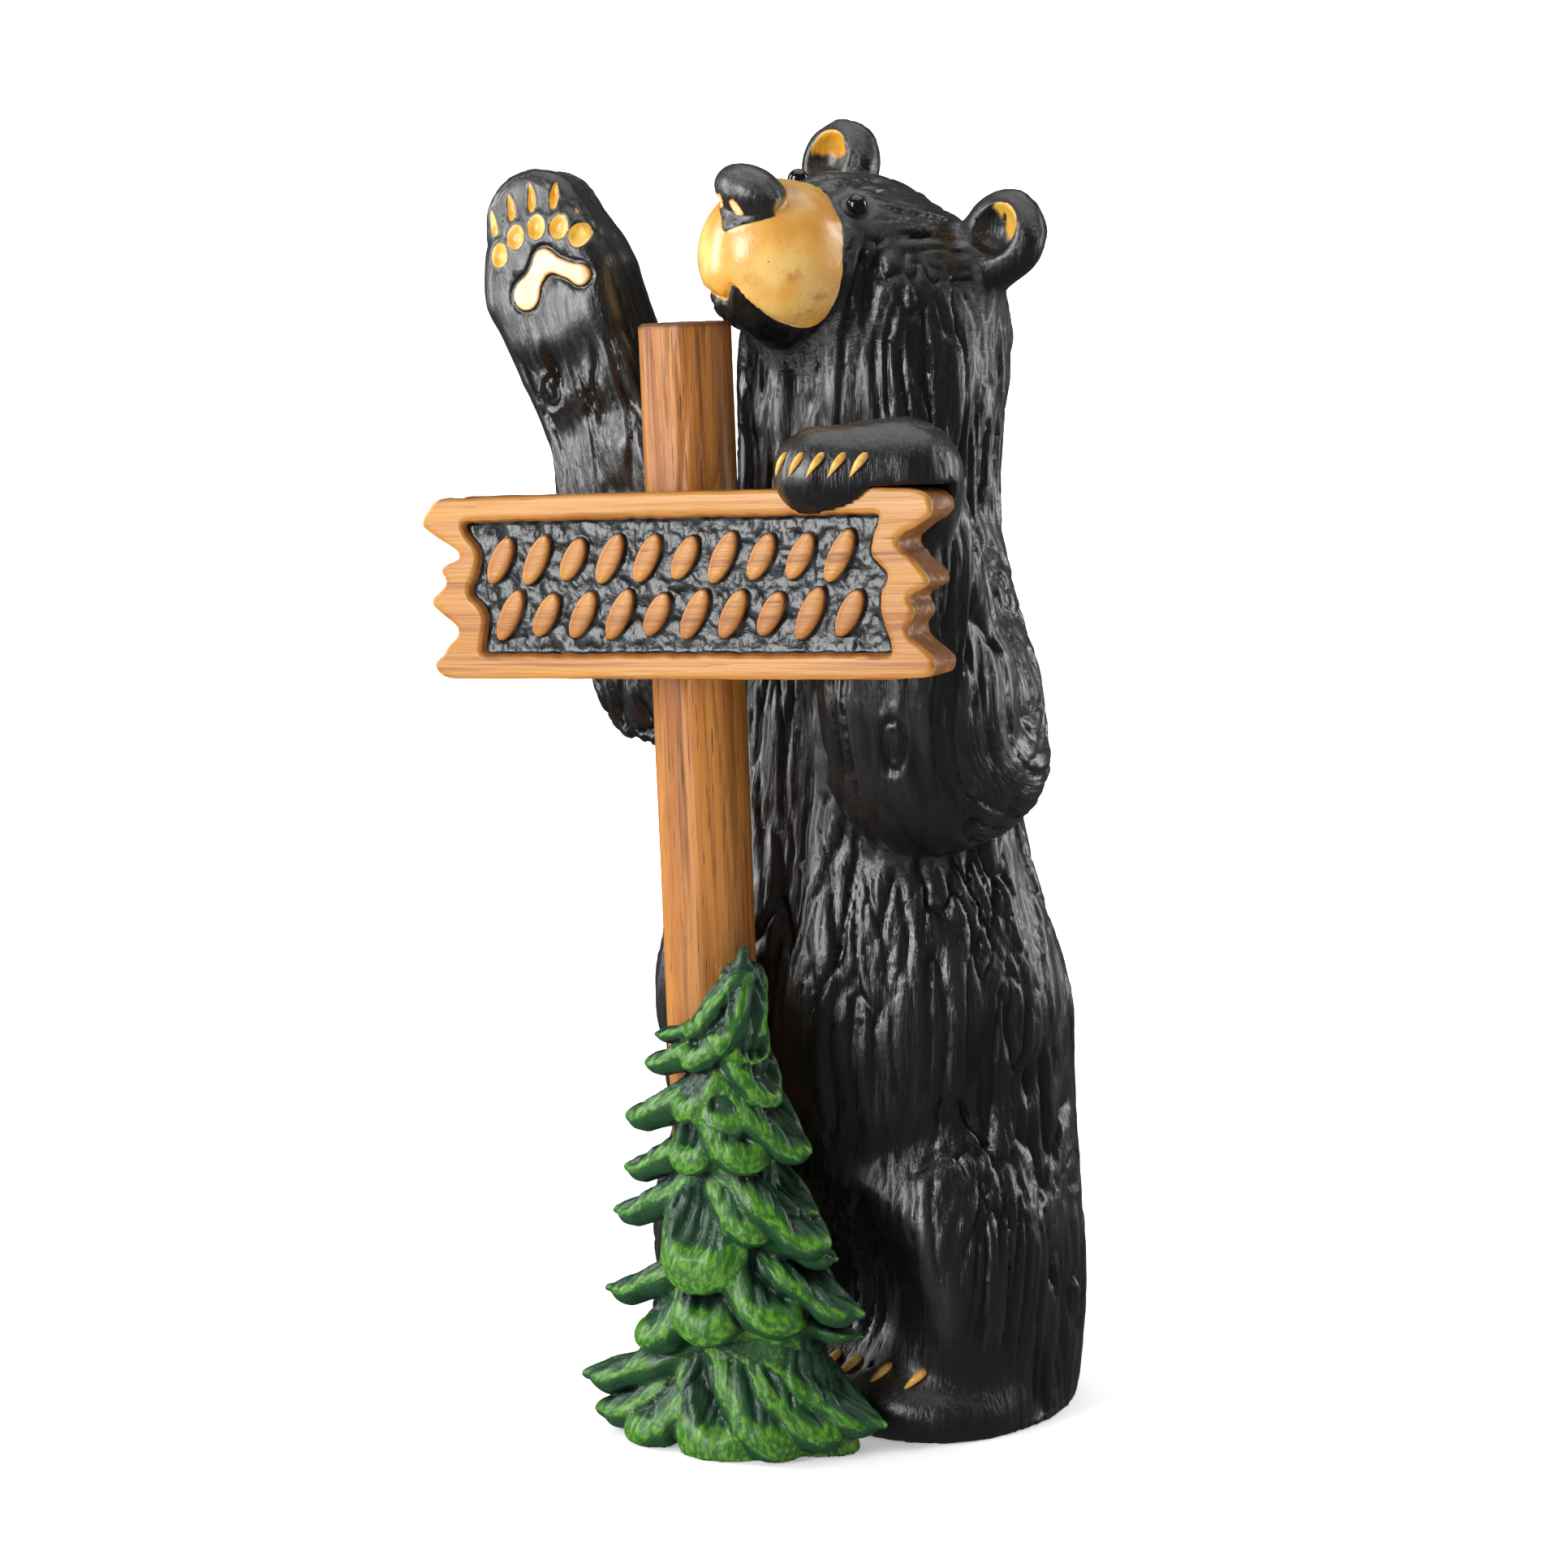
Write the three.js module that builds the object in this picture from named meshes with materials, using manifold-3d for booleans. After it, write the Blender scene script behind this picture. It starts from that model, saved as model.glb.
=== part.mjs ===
// A standing bear that waves with its right paw and rests the left one on a sign board. The board is fixed
// to a round post, and a small pine tree stands in front of the post. Millimetres, Z up, the floor at Z = 0,
// the bear faces -Y and its base is centred on the origin.
import * as THREE from "three";
import { mergeVertices } from "three/addons/utils/BufferGeometryUtils.js";
import Module from "manifold-3d";

const wasm = await Module();
wasm.setup();

// Sizes of the real object.
const BEAR_HEIGHT = 593;
const POST_DIAMETER = 42;
const POST_ABOVE_SIGN = 72;
const POST_LEAN_DEG = 2.5;
const SIGN_LENGTH = 253;
const SIGN_HEIGHT = 80.5;
const SIGN_THICKNESS = 25;
const SIGN_FRAME = 9.5;
const SIGN_RECESS = 4.5;
const STROKE_RISE = 3.5;
const TREE_HEIGHT = 228;
const TREE_WIDTH = 156;
const TREE_DEPTH = 32;
const EYE_DIAMETER = 8.4;
const FIT_GAP = 0.3;

// The bear's form is written for this height and grows with the real one.
const FORM_HEIGHT = 593;
const FORM = BEAR_HEIGHT / FORM_HEIGHT;
const SIGN_TOP = 427;
const FOOT_FRONT = 86;

// Facet budgets of the two carved pieces and the pitch of the grids that find their surfaces.
const BEAR_FACETS = 4400;
const TREE_FACETS = 2300;
const BEAR_PITCH = 4 * FORM;
const TREE_PITCH = 2.6 * (TREE_HEIGHT / 228);

const rad = THREE.MathUtils.degToRad;
const clamp = THREE.MathUtils.clamp;

// A field gives the distance from a point to a surface, negative inside. Two fields join or cut with a
// rounded seam of the given width.
function join(a, b, blend) {
  const near = Math.max(blend - Math.abs(a - b), 0) / blend;
  return Math.min(a, b) - (near * near * blend) / 4;
}

function cut(a, b, blend) {
  return -join(-a, b, blend);
}

function ellipsoid(centre, radii) {
  const [cx, cy, cz] = centre;
  const [rx, ry, rz] = radii;
  return (x, y, z) => {
    const u = (x - cx) / rx;
    const v = (y - cy) / ry;
    const w = (z - cz) / rz;
    const share = Math.hypot(u, v, w);
    return (share * (share - 1)) / Math.max(Math.hypot(u / rx, v / ry, w / rz), 1e-9);
  };
}

// Round cones along a line of points, each point with its own radius.
function limb(points, radii, blend) {
  const bones = points.slice(1).map((b, i) => {
    const a = points[i];
    const along = [b[0] - a[0], b[1] - a[1], b[2] - a[2]];
    const square = along[0] ** 2 + along[1] ** 2 + along[2] ** 2;
    return { a, along, square, from: radii[i], grow: radii[i + 1] - radii[i] };
  });
  return (x, y, z) => {
    let best = Infinity;
    for (const { a, along, square, from, grow } of bones) {
      const [dx, dy, dz] = [x - a[0], y - a[1], z - a[2]];
      const t = clamp((dx * along[0] + dy * along[1] + dz * along[2]) / square, 0, 1);
      const off = Math.hypot(dx - t * along[0], dy - t * along[1], dz - t * along[2]);
      const d = off - from - grow * t;
      best = best === Infinity ? d : join(best, d, blend);
    }
    return best;
  };
}

// A flat limb: circles along a line in the XZ plane, each swept to its own half thickness along Y.
function paddle(points, radii, halves, corner, blend) {
  return (x, y, z) => {
    let best = Infinity;
    for (let i = 1; i < points.length; i++) {
      const [a, b] = [points[i - 1], points[i]];
      const [ax, az] = [b[0] - a[0], b[2] - a[2]];
      const t = clamp(((x - a[0]) * ax + (z - a[2]) * az) / (ax * ax + az * az), 0, 1);
      const mix = (from, to) => from + (to - from) * t;
      const plan = Math.hypot(x - a[0] - t * ax, z - a[2] - t * az) - mix(radii[i - 1], radii[i]) + corner;
      const deep = Math.abs(y - mix(a[1], b[1])) - mix(halves[i - 1], halves[i]) + corner;
      const outside = Math.hypot(Math.max(plan, 0), Math.max(deep, 0));
      const d = Math.min(Math.max(plan, deep), 0) + outside - corner;
      best = best === Infinity ? d : join(best, d, blend);
    }
    return best;
  };
}

// A smooth value between rows of [height, value, value, ...].
function between(rows, height) {
  let i = 1;
  while (i < rows.length - 1 && rows[i][0] < height) i++;
  const [a, b] = [rows[i - 1], rows[i]];
  const before = rows[Math.max(i - 2, 0)];
  const after = rows[Math.min(i + 1, rows.length - 1)];
  const span = b[0] - a[0];
  const t = clamp((height - a[0]) / span, 0, 1);
  return a.slice(1).map((value, k) => {
    const end = b[k + 1];
    const leave = ((end - before[k + 1]) / (b[0] - before[0])) * span;
    const arrive = ((after[k + 1] - value) / (after[0] - a[0])) * span;
    const cubic = 2 * t ** 3 - 3 * t ** 2;
    const turn = (t ** 3 - 2 * t ** 2 + t) * leave + (t ** 3 - t ** 2) * arrive;
    return value * (1 + cubic) - end * cubic + turn;
  });
}

// An upright body of elliptical sections: rows of [height, centre x, centre y, radius x, radius y].
function trunk(rows) {
  const top = rows[rows.length - 1][0];
  const bottom = rows[0][0];
  return (x, y, z) => {
    const [cx, cy, rx, ry] = between(rows, z);
    const [u, v] = [(x - cx) / rx, (y - cy) / ry];
    const share = Math.hypot(u, v);
    const side = (share * (share - 1)) / Math.max(Math.hypot(u / rx, v / ry), 1e-9);
    return Math.max(side, z - top, bottom - z);
  };
}

// The post leans to the bear's right. Its axis runs through this point, with the post's back on the belly.
const BELLY_FRONT = 80.5 * FORM;
const POST_RADIUS = POST_DIAMETER / 2;
const postFoot = { x: -25 * FORM, y: -BELLY_FRONT - FIT_GAP - POST_RADIUS };
const signTop = SIGN_TOP * FORM;
const signMiddle = signTop - SIGN_HEIGHT / 2;
const postX = (z) => postFoot.x - z * Math.tan(rad(POST_LEAN_DEG));
const signBack = postFoot.y - POST_RADIUS - FIT_GAP;
const signFront = signBack - SIGN_THICKNESS;

// The head turns to the bear's right, lifts its nose and tips over: forward, up and the bear's right.
const HEAD_AT = [0, -12, 526.5];
const HEAD_YAW = rad(14);
const HEAD_PITCH = rad(10.3);
const HEAD_ROLL = rad(19.3);
const forward = new THREE.Vector3(
  -Math.sin(HEAD_YAW) * Math.cos(HEAD_PITCH),
  -Math.cos(HEAD_YAW) * Math.cos(HEAD_PITCH),
  Math.sin(HEAD_PITCH),
);
const level = new THREE.Vector3(-Math.cos(HEAD_YAW), Math.sin(HEAD_YAW), 0);
const upright = new THREE.Vector3().crossVectors(level, forward);
const [tipCos, tipSin] = [Math.cos(HEAD_ROLL), Math.sin(HEAD_ROLL)];
const sideways = level.clone().multiplyScalar(tipCos).addScaledVector(upright, tipSin);
const crown = upright.clone().multiplyScalar(tipCos).addScaledVector(level, -tipSin);

// A point of the head, given forward, up and to the bear's right, in the figure's own frame.
function headPoint(f, u, r) {
  return new THREE.Vector3(...HEAD_AT)
    .addScaledVector(forward, f)
    .addScaledVector(crown, u)
    .addScaledVector(sideways, r);
}

const BODY = [
  [-12, 1, 2, 92, 76],
  [0, 2, 2, 95, 78],
  [50, 2, 2, 99, 79],
  [110, 0, 0, 99, 79],
  [150, -4, -3, 100, 79],
  [190, -6, -5, 101, 78],
  [222, -7, -6, 94, 73],
  [262, -7, -7, 81, 65],
  [300, -5, -8, 73, 60],
  [360, -2, -9, 66, 56],
  [430, -1, -9, 62, 54],
  [480, 0, -8, 64, 57],
  [540, 3, -6, 60, 52],
];

const EARS = [-1, 1].map((side) => ({ at: [-18, 33.5, 53.5 * side], side }));

function headField() {
  const skull = ellipsoid([-2, -6, 0], [56, 44, 57]);
  const brow = ellipsoid([28, 10, 0], [25, 22, 35]);
  const muzzle = limb([[25, -10, 0], [61, -10, 0]], [36, 34], 10);
  const nose = ellipsoid([87, 13, 0], [13, 10, 15]);
  const jaw = ellipsoid([46, -36, 0], [32, 12, 24]);
  const ears = EARS.map(({ at }) => ellipsoid(at, [13, 21.5, 21.5]));
  const hollowAt = ({ at, side }) => [at[0] + 12, at[1] + 1, at[2] + side];
  const hollows = EARS.map((ear) => ellipsoid(hollowAt(ear), [11, 12, 11]));
  return (x, y, z) => {
    const [dx, dy, dz] = [x - HEAD_AT[0], y - HEAD_AT[1], z - HEAD_AT[2]];
    const f = dx * forward.x + dy * forward.y + dz * forward.z;
    const u = dx * crown.x + dy * crown.y + dz * crown.z;
    const r = dx * sideways.x + dy * sideways.y + dz * sideways.z;
    let d = join(skull(f, u, r), brow(f, u, r), 10);
    d = join(d, muzzle(f, u, r), 7);
    d = join(d, jaw(f, u, r), 5);
    d = join(d, nose(f, u, r), 4);
    for (const ear of ears) d = join(d, ear(f, u, r), 9);
    for (const hollow of hollows) d = cut(d, hollow(f, u, r), 3);
    return d;
  };
}

// The raised arm: a flat paw and forearm over a bent elbow.
const RAISED = [[-143.5, -58, 543], [-134.5, -58, 516], [-123, -54, 487], [-101, -44, 421], [-86, -28, 343]];
const RAISED_RADII = [26, 31, 27.5, 30, 37];
const RAISED_HALVES = [16, 18, 20, 26, 34];
const PALM_FACE = RAISED[1][1] - RAISED_HALVES[1];

// The soft fold between the belly and each thigh, and the hollow between the legs, behind the toes.
const CREASE = [[8, -88, 122], [29, -83, 125], [55, -73, 134.5], [77, -57, 146], [98, -28, 163]];
const CREASE_RADII = [2.5, 4, 5, 5, 3];
const LEG_HOLLOW = { at: [1, -92, 60], radii: [66, 36, 50] };

// The left hand lies over the sign's top edge: each place is X, the distance behind the sign's front and the
// height above its top. The claws stand in a row on the back of the hand.
const WRIST = [55, -104, SIGN_TOP + 2];
const HAND = [[70, 26, 8], [38, 10, 9]];
const HAND_CLAWS = { from: 27, pitch: 8.5, above: 13 };

function bearField() {
  const body = trunk(BODY);
  const head = headField();
  const thighs = [-1, 1].map((side) => ellipsoid([47 * side + 1, -21, 74], [53, 60, 84]));
  const legPath = (side) => [[44 * side + 2, -18, -10], [46 * side + 1, -20, 60]];
  const legs = [-1, 1].map((side) => limb(legPath(side), [54, 50], 5));
  const hollow = ellipsoid(LEG_HOLLOW.at, LEG_HOLLOW.radii);
  const feet = [-1, 1].map((side) => ellipsoid([45 * side + 2, -42, 8], [45, FOOT_FRONT - 42, 25]));
  const signY = signFront / FORM;
  const shoulderPath = [[71, -48, 304], [55, -34, 336], [37, -20, 374], [21, -12, 406]];
  const shoulder = limb(shoulderPath, [32, 34, 32, 34], 20);
  const forearm = limb([[53, -62, 308], [52, -72, 339], [52, -90, 392], WRIST], [45, 40, 33, 29], 20);
  const hand = limb(HAND.map(([x, behind, above]) => [x, signY + behind, SIGN_TOP + above]), [24, 20], 10);
  const shoulderRight = limb([[-30, -8, 372], RAISED[4]], [42, 37], 20);
  const raised = paddle(RAISED, RAISED_RADII, RAISED_HALVES, 15, 14);
  const creasePath = (side) => CREASE.map(([x, y, z]) => [1 + side * (x - 1), y, z]);
  const creases = [-1, 1].map((side) => limb(creasePath(side), CREASE_RADII, 6));
  return (x, y, z) => {
    let d = body(x, y, z);
    for (const leg of legs) d = join(d, leg(x, y, z), 8);
    for (const thigh of thighs) d = join(d, thigh(x, y, z), 8);
    d = cut(d, hollow(x, y, z), 14);
    for (const foot of feet) d = join(d, foot(x, y, z), 8);
    for (const crease of creases) d = cut(d, crease(x, y, z), 12);
    const arm = join(join(shoulder(x, y, z), forearm(x, y, z), 6), hand(x, y, z), 14);
    d = join(d, arm, 7);
    d = join(d, join(shoulderRight(x, y, z), raised(x, y, z), 16), 9);
    return join(d, head(x, y, z), 14);
  };
}

// The tree is a half-round relief with its flat back beside the post. Its core stands in front of the post,
// further out towards the bent tip, and carries drooping boughs.
const treeBack = -(FOOT_FRONT + 1.5) * FORM;

function treeMiddle(share) {
  return postFoot.y - POST_RADIUS * (0.1 + 1.1 * Math.max(share, 0) ** 0.8);
}

function treeAxis(share) {
  const bend = Math.max(share - 0.7, 0) / 0.3;
  return postFoot.x + TREE_WIDTH * (0.055 - 0.03 * share + 0.105 * bend ** 0.9);
}

// The core: a share of the height, then half its width and half its depth as shares of the tree's own.
const TREE_CORE = [
  [-0.06, 0.4, 0.72],
  [0.1, 0.32, 0.7],
  [0.25, 0.255, 0.66],
  [0.45, 0.19, 0.55],
  [0.62, 0.14, 0.46],
  [0.76, 0.1, 0.36],
  [0.85, 0.062, 0.28],
  [0.93, 0.035, 0.15],
  [1, 0.01, 0.05],
];

// The boughs from the foot to the tip, as shares of the tree's sizes: the lip's place sideways and in height,
// how far forward it reaches, its half width, and how far its root stands above it.
const BOUGHS = [
  [-0.46, 0.085, 0.35, 0.085, 0.11], [-0.385, 0.03, 0.6, 0.085, 0.12], [-0.24, 0.02, 0.85, 0.1, 0.15],
  [0.035, 0.022, 0.95, 0.125, 0.21], [0.2, 0.04, 0.75, 0.11, 0.18], [0.33, 0.045, 0.45, 0.1, 0.16],
  [0.455, 0.055, 0.12, 0.085, 0.15],
  [-0.38, 0.27, 0.25, 0.07, 0.105], [-0.205, 0.215, 0.75, 0.09, 0.13], [0, 0.265, 1, 0.09, 0.15],
  [0.1, 0.35, 0.85, 0.064, 0.115], [0.225, 0.285, 0.8, 0.096, 0.16], [0.415, 0.28, 0.2, 0.077, 0.15],
  [0.34, 0.385, 0.05, 0.064, 0.1], [0.4, 0.235, 0, 0.05, 0.06],
  [-0.34, 0.435, 0.2, 0.07, 0.1], [-0.015, 0.385, 1, 0.11, 0.175], [0.15, 0.455, 0.75, 0.077, 0.13],
  [0.32, 0.425, 0.35, 0.09, 0.15], [0.285, 0.475, 0.05, 0.058, 0.08],
  [-0.29, 0.53, 0.25, 0.064, 0.09], [-0.04, 0.59, 0.9, 0.07, 0.105], [0.13, 0.605, 0.8, 0.083, 0.12],
  [0.27, 0.6, 0.15, 0.077, 0.13],
  [-0.265, 0.64, 0.3, 0.07, 0.08], [-0.045, 0.685, 0.85, 0.064, 0.1], [0.08, 0.665, 0.85, 0.07, 0.11],
  [0.175, 0.705, 0.2, 0.064, 0.1],
  [-0.215, 0.755, 0.35, 0.058, 0.06], [-0.055, 0.785, 0.8, 0.058, 0.07], [0.095, 0.77, 0.3, 0.058, 0.08],
  [-0.22, 0.81, 0.2, 0.038, 0.04], [-0.09, 0.835, 0.6, 0.05, 0.1], [0, 0.815, 0.8, 0.056, 0.12],
  [0.06, 0.815, 0.25, 0.046, 0.11],
];
const BOUGH_FLAT = 0.6;

// A bough is a drooping lobe, flat across its slope: it leaves the core, widens and ends in a lip.
function bough([sideways, height, forwards, wide, rise]) {
  const deep = TREE_DEPTH * 0.95 * (1 - 0.55 * height);
  const at = (out, lift) => [
    treeAxis(height) + sideways * TREE_WIDTH * out,
    treeMiddle(height) - forwards * deep * out ** 0.8,
    TREE_HEIGHT * (height + rise * lift),
  ];
  const path = [at(0.15, 1), at(0.5, 0.52), at(0.8, 0.14), at(0.95, 0.06)];
  const half = wide * TREE_WIDTH * 1.22;
  const swell = [1.05 - 0.35 * forwards, 1, 0.72 + 0.28 * forwards, 0.22 + 0.3 * forwards];
  const radii = swell.map((part) => part * half);
  const [a, b] = [path[0], path[path.length - 1]];
  const run = new THREE.Vector3(b[0] - a[0], b[1] - a[1], b[2] - a[2]);
  const reach = run.length();
  run.normalize();
  const out = new THREE.Vector3(run.x, run.y, 0).normalize();
  const across = new THREE.Vector3(-out.y, out.x, 0);
  const thin = new THREE.Vector3().crossVectors(run, across).normalize();
  const squash = 1 / BOUGH_FLAT - 1;
  const field = (x, y, z) => {
    let best = Infinity;
    for (let i = 1; i < path.length; i++) {
      const [p, q] = [path[i - 1], path[i]];
      const [ux, uy, uz] = [q[0] - p[0], q[1] - p[1], q[2] - p[2]];
      const [dx, dy, dz] = [x - p[0], y - p[1], z - p[2]];
      const t = clamp((dx * ux + dy * uy + dz * uz) / (ux * ux + uy * uy + uz * uz), 0, 1);
      const [ox, oy, oz] = [dx - t * ux, dy - t * uy, dz - t * uz];
      const off = (ox * thin.x + oy * thin.y + oz * thin.z) * squash;
      const far = Math.hypot(ox + off * thin.x, oy + off * thin.y, oz + off * thin.z);
      const d = (far - radii[i - 1] - (radii[i] - radii[i - 1]) * t) * 0.7;
      best = best === Infinity ? d : join(best, d, 4);
    }
    return best;
  };
  return { field, middle: a.map((value, i) => (value + b[i]) / 2), span: reach / 2 + half };
}

function treeField() {
  const core = trunk(TREE_CORE.map(([share, wide, deep]) =>
    [TREE_HEIGHT * share, treeAxis(share), treeMiddle(share), TREE_WIDTH * wide, TREE_DEPTH * deep]));
  const boughs = BOUGHS.map(bough);
  return (x, y, z) => {
    let d = core(x, y, z);
    for (const { field, middle, span } of boughs) {
      if (Math.hypot(x - middle[0], y - middle[1], z - middle[2]) - span > 8) continue;
      d = join(d, field(x, y, z), 1.6);
    }
    return d;
  };
}

// Corners of a cell are numbered by their bits: 1 along X, 2 along Y, 4 along Z. These are its six sides.
const CELL_CORNERS = [0, 1, 2, 3, 4, 5, 6, 7];
const CELL_SIDES = [[0, 1, 3, 2], [4, 5, 7, 6], [0, 1, 5, 4], [2, 3, 7, 6], [0, 2, 6, 4], [1, 3, 7, 5]];

// Where two parts of the surface would touch along an edge or at a corner of the grid, the gap is filled, so
// that each edge of the mesh has two facets.
function untangle(blocks, block, sample, change) {
  const place = (i, j, k, c) => [i + (c & 1), j + ((c >> 1) & 1), k + (c >> 2)];
  for (let changed = true; changed;) {
    changed = false;
    for (const [bi, bj, bk] of blocks)
      for (let n = 0; n < block ** 3; n++) {
        const [row, layer] = [Math.floor(n / block) % block, Math.floor(n / block ** 2)];
        const cell = [bi + (n % block), bj + row, bk + layer];
        const inner = CELL_CORNERS.map((c) => sample(...place(...cell, c)) < 0);
        const full = inner.filter(Boolean).length;
        if (full === 0 || full === 8) continue;
        const crossed = CELL_SIDES.filter(([a, b, c, d]) =>
          inner[a] === inner[c] && inner[b] === inner[d] && inner[a] !== inner[b]);
        for (const side of crossed)
          for (const c of side) if (!inner[c]) change(...place(...cell, c), true);
        const lone = CELL_CORNERS.find((c) => inner[c] && full === 2 && inner[7 - c]);
        if (lone !== undefined && !crossed.length) change(...place(...cell, lone), false);
        const hollow = CELL_CORNERS.find((c) => !inner[c] && full === 6 && !inner[7 - c]);
        if (hollow !== undefined && !crossed.length) change(...place(...cell, hollow), true);
        if (crossed.length || lone !== undefined || hollow !== undefined) changed = true;
      }
  }
}

// Surface of a field inside a box as a closed mesh: one vertex in each cell that the surface crosses. Only
// blocks of cells near the surface are worked out in full.
function surface(field, low, high, pitch) {
  const block = 4;
  const count = low.map((a, i) => Math.ceil((high[i] - a) / (pitch * block)) * block + 1);
  const [nx, ny, nz] = count;
  const at = (i, j, k) => (i * ny + j) * nz + k;
  const value = new Float32Array(nx * ny * nz);
  const known = new Uint8Array(nx * ny * nz);
  const sample = (i, j, k) => {
    const n = at(i, j, k);
    if (!known[n]) {
      known[n] = 1;
      value[n] = field(low[0] + i * pitch, low[1] + j * pitch, low[2] + k * pitch);
    }
    return value[n];
  };
  const reach = pitch * block * 1.8;
  const blocks = [];
  for (let i = 0; i < nx - 1; i += block)
    for (let j = 0; j < ny - 1; j += block)
      for (let k = 0; k < nz - 1; k += block) {
        let near = Infinity;
        for (let c = 0; c < 8; c++) {
          const corner = sample(i + block * (c & 1), j + block * ((c >> 1) & 1), k + block * (c >> 2));
          near = Math.min(near, Math.abs(corner));
        }
        if (near < reach) blocks.push([i, j, k]);
      }
  untangle(blocks, block, sample, (i, j, k, inner) => (value[at(i, j, k)] = (inner ? -0.02 : 0.02) * pitch));
  const positions = [];
  const vertexOf = new Int32Array(nx * ny * nz).fill(-1);
  const cells = [];
  for (const [bi, bj, bk] of blocks)
    for (let i = bi; i < bi + block; i++)
      for (let j = bj; j < bj + block; j++)
        for (let k = bk; k < bk + block; k++) {
          const corners = [];
          let inside = 0;
          for (let c = 0; c < 8; c++) {
            corners.push(sample(i + (c & 1), j + ((c >> 1) & 1), k + (c >> 2)));
            if (corners[c] < 0) inside++;
          }
          if (inside === 0 || inside === 8) continue;
          const sum = [0, 0, 0];
          let crossings = 0;
          for (let c = 0; c < 8; c++)
            for (const bit of [1, 2, 4]) {
              const other = c | bit;
              if (other === c || corners[c] < 0 === corners[other] < 0) continue;
              const t = corners[c] / (corners[c] - corners[other]);
              sum[0] += (c & 1) + (bit === 1 ? t : 0);
              sum[1] += ((c >> 1) & 1) + (bit === 2 ? t : 0);
              sum[2] += (c >> 2) + (bit === 4 ? t : 0);
              crossings++;
            }
          vertexOf[at(i, j, k)] = positions.length / 3;
          [i, j, k].forEach((n, axis) => positions.push(low[axis] + (n + sum[axis] / crossings) * pitch));
          cells.push([i, j, k]);
        }
  const index = [];
  const steps = [[1, 0, 0], [0, 1, 0], [0, 0, 1]];
  for (const cell of cells)
    for (let axis = 0; axis < 3; axis++) {
      const end = cell.map((n, i) => n + steps[axis][i]);
      const [u, v] = [steps[(axis + 1) % 3], steps[(axis + 2) % 3]];
      const here = sample(...cell) < 0;
      if (here === sample(...end) < 0) continue;
      const ring = [[0, 0], [1, 0], [1, 1], [0, 1]].map(([a, b]) =>
        vertexOf[at(...cell.map((n, i) => n - a * u[i] - b * v[i]))]);
      if (!here) ring.reverse();
      index.push(ring[0], ring[1], ring[2], ring[0], ring[2], ring[3]);
    }
  return { positions: Float64Array.from(positions), index: Uint32Array.from(index) };
}

// Moves each vertex along the field's slope onto the surface.
function settle(mesh, field, pitch) {
  const p = mesh.positions;
  const step = pitch * 0.1;
  for (let i = 0; i < p.length; i += 3) {
    const [x, y, z] = [p[i], p[i + 1], p[i + 2]];
    const gx = (field(x + step, y, z) - field(x - step, y, z)) / (2 * step);
    const gy = (field(x, y + step, z) - field(x, y - step, z)) / (2 * step);
    const gz = (field(x, y, z + step) - field(x, y, z - step)) / (2 * step);
    const far = clamp(field(x, y, z) / Math.max(gx * gx + gy * gy + gz * gz, 0.3), -pitch / 2, pitch / 2);
    p[i] -= gx * far;
    p[i + 1] -= gy * far;
    p[i + 2] -= gz * far;
  }
}

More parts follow.
